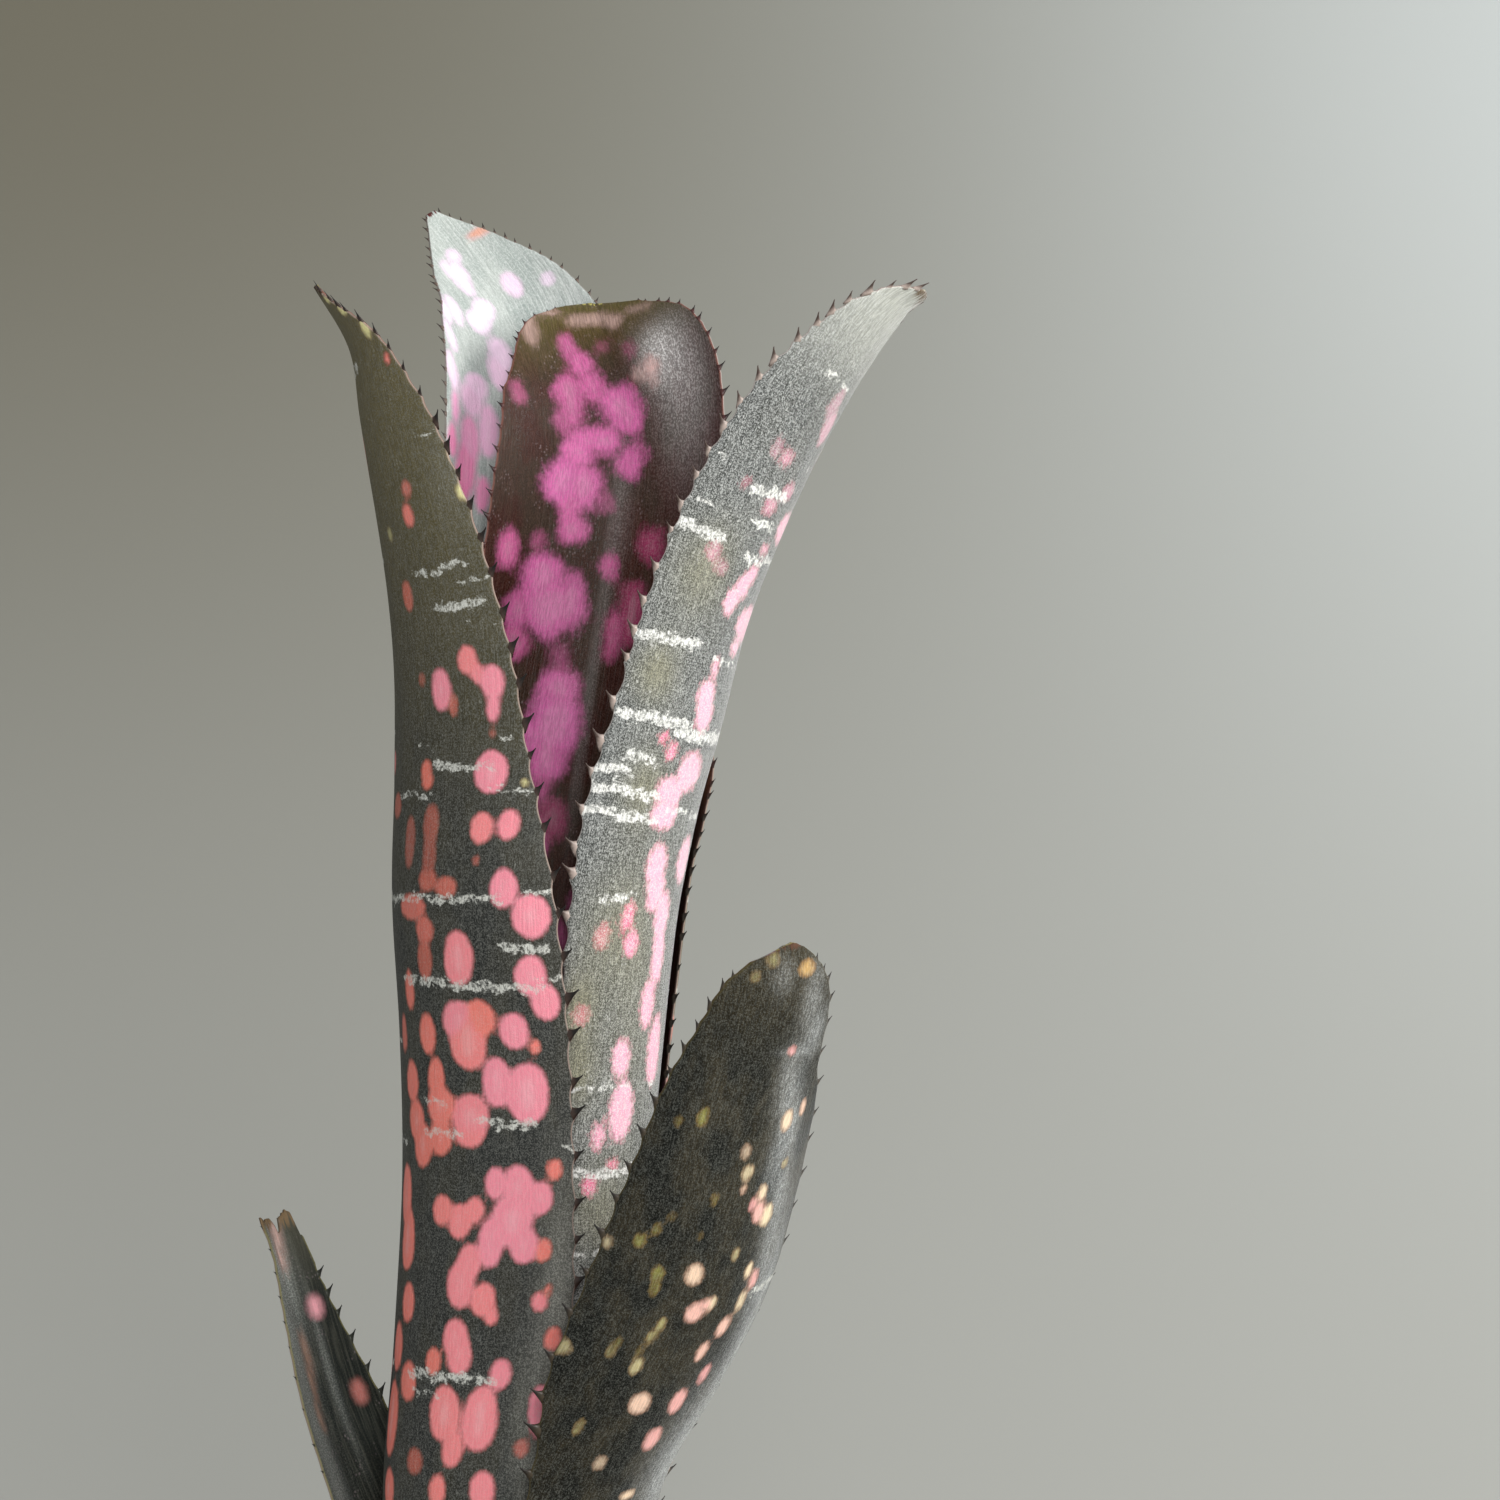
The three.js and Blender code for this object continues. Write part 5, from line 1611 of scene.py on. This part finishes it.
def compost_material(colors):
    """Dark crumbly compost with darker patches."""
    material, tree, shader = new_material("mix_compost")
    place = object_place(tree)
    crumbs = noise_node(tree, place, 420.0, 4.0, 0.7)
    broad = noise_node(tree, place, 90.0, 3.0, 0.6)
    color = mix_colors(tree, ramp(tree, crumbs, 0.38, 0.66), rgba(colors.mix), rgba(colors.mix_light))
    color = mix_colors(tree, times(tree, ramp(tree, broad, 0.4, 0.66), 0.5), color,
                       rgba(srgb(30, 21, 15)))
    surface(tree, shader, color, ramp(tree, crumbs, 0.3, 0.7, 0.75, 0.98), (crumbs, 1.0, 0.0015))
    return material


def bark_material(colors):
    """Bark chips: each flake has a shade of its own, with layers and grain."""
    material, tree, shader = new_material("mix_bark")
    place = object_place(tree)
    shade = attribute(tree, "shade")
    layers = noise_node(tree, stretched(tree, place, (1, 1, 3)), 500.0, 4.0, 0.65)
    color = mix_colors(tree, shade, rgba(colors.bark), rgba(colors.mix_light))
    color = mix_colors(tree, ramp(tree, layers, 0.4, 0.7), color, rgba(srgb(48, 31, 21)))
    surface(tree, shader, color, ramp(tree, layers, 0.3, 0.7, 0.65, 0.92), (layers, 0.8, 0.0008))
    return material


def perlite_material():
    """Chalky white grains with a little dirt."""
    material, tree, shader = new_material("mix_perlite")
    place = object_place(tree)
    pits = noise_node(tree, place, 1500.0, 3.0, 0.6)
    dirt, chalk = rgba(srgb(168, 158, 142)), rgba(srgb(228, 224, 214))
    color = mix_colors(tree, ramp(tree, pits, 0.42, 0.62), dirt, chalk)
    surface(tree, shader, color, ramp(tree, pits, 0.3, 0.7, 0.7, 0.95), (pits, 0.7, 0.0005))
    return material


def wood_material(name, dark, pale, stretch):
    """A fibrous stem or root: long fibres and cork patches."""
    material, tree, shader = new_material(name)
    place = object_place(tree)
    fibres = noise_node(tree, stretched(tree, place, stretch), 1.0, 4.0, 0.65)
    patches = noise_node(tree, place, 160.0, 3.0, 0.6)
    color = mix_colors(tree, ramp(tree, fibres, 0.35, 0.68), rgba(dark), rgba(pale))
    color = mix_colors(tree, times(tree, ramp(tree, patches, 0.48, 0.7), 0.6), color, rgba(dark))
    surface(tree, shader, color, ramp(tree, fibres, 0.3, 0.7, 0.65, 0.9), (fibres, 0.7, 0.0006))
    return material


def backdrop_material(colors):
    """A plain backdrop with a gentle painted fall of light from the upper right to the upper left."""
    material, tree, shader = new_material("stage_paper")
    split = add(tree, "ShaderNodeSeparateXYZ")
    link(tree, split.inputs[0], object_place(tree))
    x, z = split.outputs["X"], split.outputs["Z"]
    wide = math_node(tree, "POWER", ramp(tree, x, -0.6, 0.6), 2.5)
    tall = ramp(tree, z, -0.1, 0.75)
    left = mix_colors(tree, tall, rgba(colors.backdrop), rgba(colors.backdrop_shade))
    right = mix_colors(tree, tall, rgba(colors.backdrop), rgba(colors.backdrop_glow))
    tree.links.new(mix_colors(tree, wide, left, right), shader.inputs["Base Color"])
    shader.inputs["Roughness"].default_value = 0.95
    shader.inputs["Specular IOR Level"].default_value = 0.1
    return material


# Settings

def size(label, note, default):
    """A length in metres."""
    return FloatProperty(name=label, description=note, default=default, unit="LENGTH", precision=4)


def number(label, note, default):
    """A plain number."""
    return FloatProperty(name=label, description=note, default=default)


def color(label, note, default):
    """A colour."""
    return FloatVectorProperty(name=label, description=note, default=default, subtype="COLOR", min=0, max=1)


class LeafSettings(bpy.types.PropertyGroup):
    """Sizes of the leaves and their spines, in mm."""
    leaf_thickness: number("Leaf thickness", "Thickness of a leaf along its midrib, in mm", 0.9)
    margin_thinning: number("Margin thinning", "Share of its thickness that a leaf loses at its margin", 0.35)
    layer_pitch: number("Layer pitch", "Distance from one leaf's layer in the tube to the next, in mm", 1.5)
    waviness: number("Waviness", "How far a free leaf waves off its smooth shape, in mm", 0.3)
    spine_length: number("Spine length", "Length of a large spine, in mm", 2.0)
    spine_width: number("Spine width", "Width of a large spine at its foot, in mm", 1.8)


class PotSettings(bpy.types.PropertyGroup):
    """Sizes of the pot and the number of pieces that lie on its mix."""
    base_radius: size("Base radius", "Radius of the pot's underside", 0.039)
    wall: size("Wall", "Thickness of the pot's wall", 0.0055)
    floor: size("Floor", "Thickness of the pot's floor", 0.008)
    collar_height: size("Collar height", "Height of the thicker collar below the rim", 0.024)
    collar_step: size("Collar step", "How far the collar stands proud of the wall", 0.0035)
    chips: IntProperty(name="Bark chips", description="Number of bark chips on the mix", default=420, min=0)
    perlite: IntProperty(name="Perlite grains", description="Number of white grains", default=110, min=0)
    crumbs: IntProperty(name="Crumbs", description="Number of fine compost crumbs", default=900, min=0)


class PlantColors(bpy.types.PropertyGroup):
    """Colours of the pot, the mix, the dry sheaths and the backdrop."""
    clay: color("Clay", "Fired clay", srgb(178, 104, 70))
    clay_dark: color("Damp clay", "Clay in its darker mottling", srgb(150, 82, 54))
    clay_bloom: color("Mineral bloom", "Pale salts on the clay", srgb(204, 176, 154))
    mix: color("Compost", "Dark compost", srgb(44, 31, 23))
    mix_light: color("Light bark", "Lighter fibre and bark", srgb(104, 74, 50))
    bark: color("Bark", "Dark bark", srgb(70, 45, 30))
    stem_dark: color("Stem", "Stem between its fibres", srgb(84, 72, 46))
    stem_pale: color("Stem fibre", "Pale fibres of the stem", srgb(150, 134, 92))
    sheath_dark: color("Dry sheath", "Dark fibres of the dry sheaths", srgb(84, 60, 40))
    sheath_pale: color("Sheath straw", "Pale fibres of the dry sheaths", srgb(158, 126, 86))
    backdrop: color("Backdrop", "The plain floor and backdrop", srgb(186, 187, 182))
    # The backdrop's shaded and bright corners are painted shade and painted light
    backdrop_shade: color("Backdrop shade", "The backdrop's shaded corner", srgb(137, 133, 118))
    backdrop_glow: color("Backdrop glow", "The backdrop's bright corner", srgb(234, 240, 240))


class StageSettings(bpy.types.PropertyGroup):
    """Camera and lights."""
    distance: size("Camera distance", "From the camera to the plant's axis", 0.6)
    sight_x: size("Sight line X", "X of the camera", 0.03667)
    sight_z: size("Sight line height", "Height of the camera, which looks level", 0.303)
    lens: number("Lens", "Focal length in mm on a 36 mm sensor", 86.4)
    key: number("Key light", "Power of the soft key light from the right, in watts", 20.5)
    front: number("Front light", "Power of the soft light from the front, in watts", 12.5)
    sky: number("Surrounding light", "Strength of the even surrounding light", 0.42)


class PlantSettings(bpy.types.PropertyGroup):
    """All settings of the potted plant."""
    leaves: PointerProperty(type=LeafSettings)
    pot: PointerProperty(type=PotSettings)
    colors: PointerProperty(type=PlantColors)
    stage: PointerProperty(type=StageSettings)


def finish_piece(piece, slot, material, *nodes):
    """Gives a piece its material and its body, and hides the nodes that it stands for. Its slot is not used.
    """
    piece.data.materials.clear()
    piece.data.materials.append(material)
    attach(piece, BODY)
    if nodes:
        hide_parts(*nodes)


def assign(node, material):
    """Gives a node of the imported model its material."""
    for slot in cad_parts[node].material_slots:
        slot.material = material
    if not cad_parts[node].material_slots:
        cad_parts[node].data.materials.append(material)


# Operators

class BILLBERGIA_OT_leaves(bpy.types.Operator):
    """Make the spotted leaves of the tube and their marginal spines"""
    bl_idname = "billbergia.leaves"
    bl_label = "Leaves"

    def execute(self, context):
        sizes = context.scene.billbergia.leaves
        template = spine_template(sizes)
        for seed, leaf in enumerate(LEAVES):
            if leaf.slot == "sheath_dry":
                continue
            shape = LeafShape(leaf, sizes, seed)
            blade = blade_mesh(shape, sizes, f"{leaf.name}_blade")
            finish_piece(blade, leaf.slot, leaf_material(leaf.name), leaf.name)
            spines = spines_mesh(shape, template, sizes, f"{leaf.name}_spines")
            finish_piece(spines, leaf.slot, spine_material(leaf.name, *SPINE_COLORS[leaf.name]))
        bpy.data.meshes.remove(template)
        return {"FINISHED"}


class BILLBERGIA_OT_sheaths(bpy.types.Operator):
    """Make the dry sheaths at the foot of the tube"""
    bl_idname = "billbergia.sheaths"
    bl_label = "Dry sheaths"

    def execute(self, context):
        settings = context.scene.billbergia
        paper = sheath_material(settings.colors)
        for seed, leaf in enumerate(LEAVES):
            if leaf.slot != "sheath_dry":
                continue
            shape = LeafShape(leaf, settings.leaves, seed)
            blade = blade_mesh(shape, settings.leaves, f"{leaf.name}_paper")
            finish_piece(blade, leaf.slot, paper, leaf.name)
        return {"FINISHED"}


class BILLBERGIA_OT_pot(bpy.types.Operator):
    """Make the clay pot"""
    bl_idname = "billbergia.pot"
    bl_label = "Pot"

    def execute(self, context):
        settings = context.scene.billbergia
        pot = pot_mesh(settings.pot, "clay_pot")
        finish_piece(pot, "clay", clay_material(settings.colors), "pot")
        return {"FINISHED"}


class BILLBERGIA_OT_mix(bpy.types.Operator):
    """Make the potting mix with its bark chips, perlite and crumbs"""
    bl_idname = "billbergia.mix"
    bl_label = "Potting mix"

    def execute(self, context):
        settings = context.scene.billbergia
        compost = compost_material(settings.colors)
        finish_piece(mix_mesh(settings.pot, "mix_bed"), "mix", compost, "potting_mix")
        finish_piece(crumbs_mesh(settings.pot.crumbs, "mix_crumbs"), "mix", compost)
        finish_piece(chips_mesh(settings.pot.chips, "mix_bark_chips"), "mix", bark_material(settings.colors))
        grains = perlite_mesh(settings.pot.perlite, "mix_perlite_grains")
        finish_piece(grains, "mix", perlite_material())
        return {"FINISHED"}


class BILLBERGIA_OT_stem(bpy.types.Operator):
    """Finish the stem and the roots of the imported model"""
    bl_idname = "billbergia.stem"
    bl_label = "Stem and roots"

    def execute(self, context):
        colors = context.scene.billbergia.colors
        assign("stem", wood_material("stem_wood", colors.stem_dark, colors.stem_pale, (900, 900, 120)))
        root = wood_material("root_wire", srgb(58, 42, 30), srgb(112, 88, 62), (700, 700, 200))
        for node in sorted(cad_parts):
            if node.startswith("root_"):
                assign(node, root)
        return {"FINISHED"}


# Lights: (name, place, width, colour) in metres, all aimed at one point of the tube
KEY_LIGHT = ("key_light", (1.3, -0.3, 0.85), 0.8, srgb(255, 253, 249))
FRONT_LIGHT = ("front_light", (0.22, -1.5, 0.8), 0.5, srgb(255, 254, 252))
LIGHTS_AIM = (0.0, 0.0, 0.28)
SKY_COLOR = srgb(238, 240, 242)
SENSOR_WIDTH = 36.0


class BILLBERGIA_OT_stage(bpy.types.Operator):
    """Set up the backdrop, the soft lights and the camera"""
    bl_idname = "billbergia.stage"
    bl_label = "Stage"

    def execute(self, context):
        settings = context.scene.billbergia
        stage = settings.stage
        backdrop = backdrop_mesh("backdrop")
        backdrop.data.materials.append(backdrop_material(settings.colors))
        soft_light(*KEY_LIGHT, stage.key)
        soft_light(*FRONT_LIGHT, stage.front)
        world = bpy.data.worlds.new("surrounding_light")
        world.use_nodes = True
        background = world.node_tree.nodes["Background"]
        background.inputs["Color"].default_value = rgba(SKY_COLOR)
        background.inputs["Strength"].default_value = stage.sky
        context.scene.world = world
        camera = bpy.data.objects.new("camera", bpy.data.cameras.new("camera"))
        camera.location = (stage.sight_x, -stage.distance, stage.sight_z)
        camera.rotation_euler = (math.radians(90), 0, 0)
        camera.data.lens = stage.lens
        camera.data.sensor_width = SENSOR_WIDTH
        camera.data.clip_start = 0.01
        context.scene.collection.objects.link(camera)
        context.scene.camera = camera
        context.scene.view_settings.view_transform = "Standard"
        return {"FINISHED"}


def backdrop_mesh(name):
    """One sheet: a floor in front, a cove and a tall wall behind."""
    half_width, front, wall, cove, top = 3.0, -3.0, 1.45, 1.2, 2.6
    cove_steps = 24
    outline = [(front, 0.0)]
    for k in range(cove_steps + 1):
        turn = math.radians(90 * k / cove_steps)
        outline.append((wall - cove + cove * math.sin(turn), cove - cove * math.cos(turn)))
    outline.append((wall, top))
    bm = bmesh.new()
    verts = [bm.verts.new((-half_width, y, z)) for y, z in outline]
    edges = [bm.edges.new(pair) for pair in zip(verts, verts[1:])]
    swept = bmesh.ops.extrude_edge_only(bm, edges=edges)
    moved = [item for item in swept["geom"] if isinstance(item, bmesh.types.BMVert)]
    bmesh.ops.translate(bm, verts=moved, vec=(2 * half_width, 0, 0))
    for face in bm.faces:
        face.normal_update()
        if face.normal.z - face.normal.y < 0:
            face.normal_flip()
    return finish_mesh(bm, name)


def soft_light(name, place, width, color, power):
    """A large square light aimed at the tube."""
    light = bpy.data.lights.new(name, "AREA")
    light.shape = "SQUARE"
    light.size = width
    light.energy = power
    light.color = color
    holder = bpy.data.objects.new(name, light)
    holder.location = place
    holder.rotation_euler = (Vector(LIGHTS_AIM) - Vector(place)).to_track_quat("-Z", "Y").to_euler()
    bpy.context.scene.collection.objects.link(holder)


class BILLBERGIA_PT_panel(bpy.types.Panel):
    """Buttons and settings of the potted billbergia"""
    bl_idname = "BILLBERGIA_PT_panel"
    bl_label = "Potted Billbergia"
    bl_space_type = "VIEW_3D"
    bl_region_type = "UI"
    bl_category = "Billbergia"

    def draw(self, context):
        settings = context.scene.billbergia
        for operator in OPERATORS:
            self.layout.operator(operator.bl_idname)
        for group in (settings.leaves, settings.pot, settings.colors, settings.stage):
            box = self.layout.box()
            for name in group.__annotations__:
                box.prop(group, name)


OPERATORS = (
    BILLBERGIA_OT_stage,
    BILLBERGIA_OT_pot,
    BILLBERGIA_OT_mix,
    BILLBERGIA_OT_stem,
    BILLBERGIA_OT_sheaths,
    BILLBERGIA_OT_leaves,
)
CLASSES = (LeafSettings, PotSettings, PlantColors, StageSettings, PlantSettings, *OPERATORS,
           BILLBERGIA_PT_panel)


def register():
    """Makes the settings, the operators and the panel known to Blender."""
    for cls in CLASSES:
        bpy.utils.register_class(cls)
    bpy.types.Scene.billbergia = PointerProperty(type=PlantSettings)


def unregister():
    """Takes them away again."""
    del bpy.types.Scene.billbergia
    for cls in reversed(CLASSES):
        bpy.utils.unregister_class(cls)


def main():
    """Builds every piece."""
    register()
    for operator in OPERATORS:
        module, name = operator.bl_idname.split(".")
        getattr(getattr(bpy.ops, module), name)()


if __name__ == "__main__":
    main()
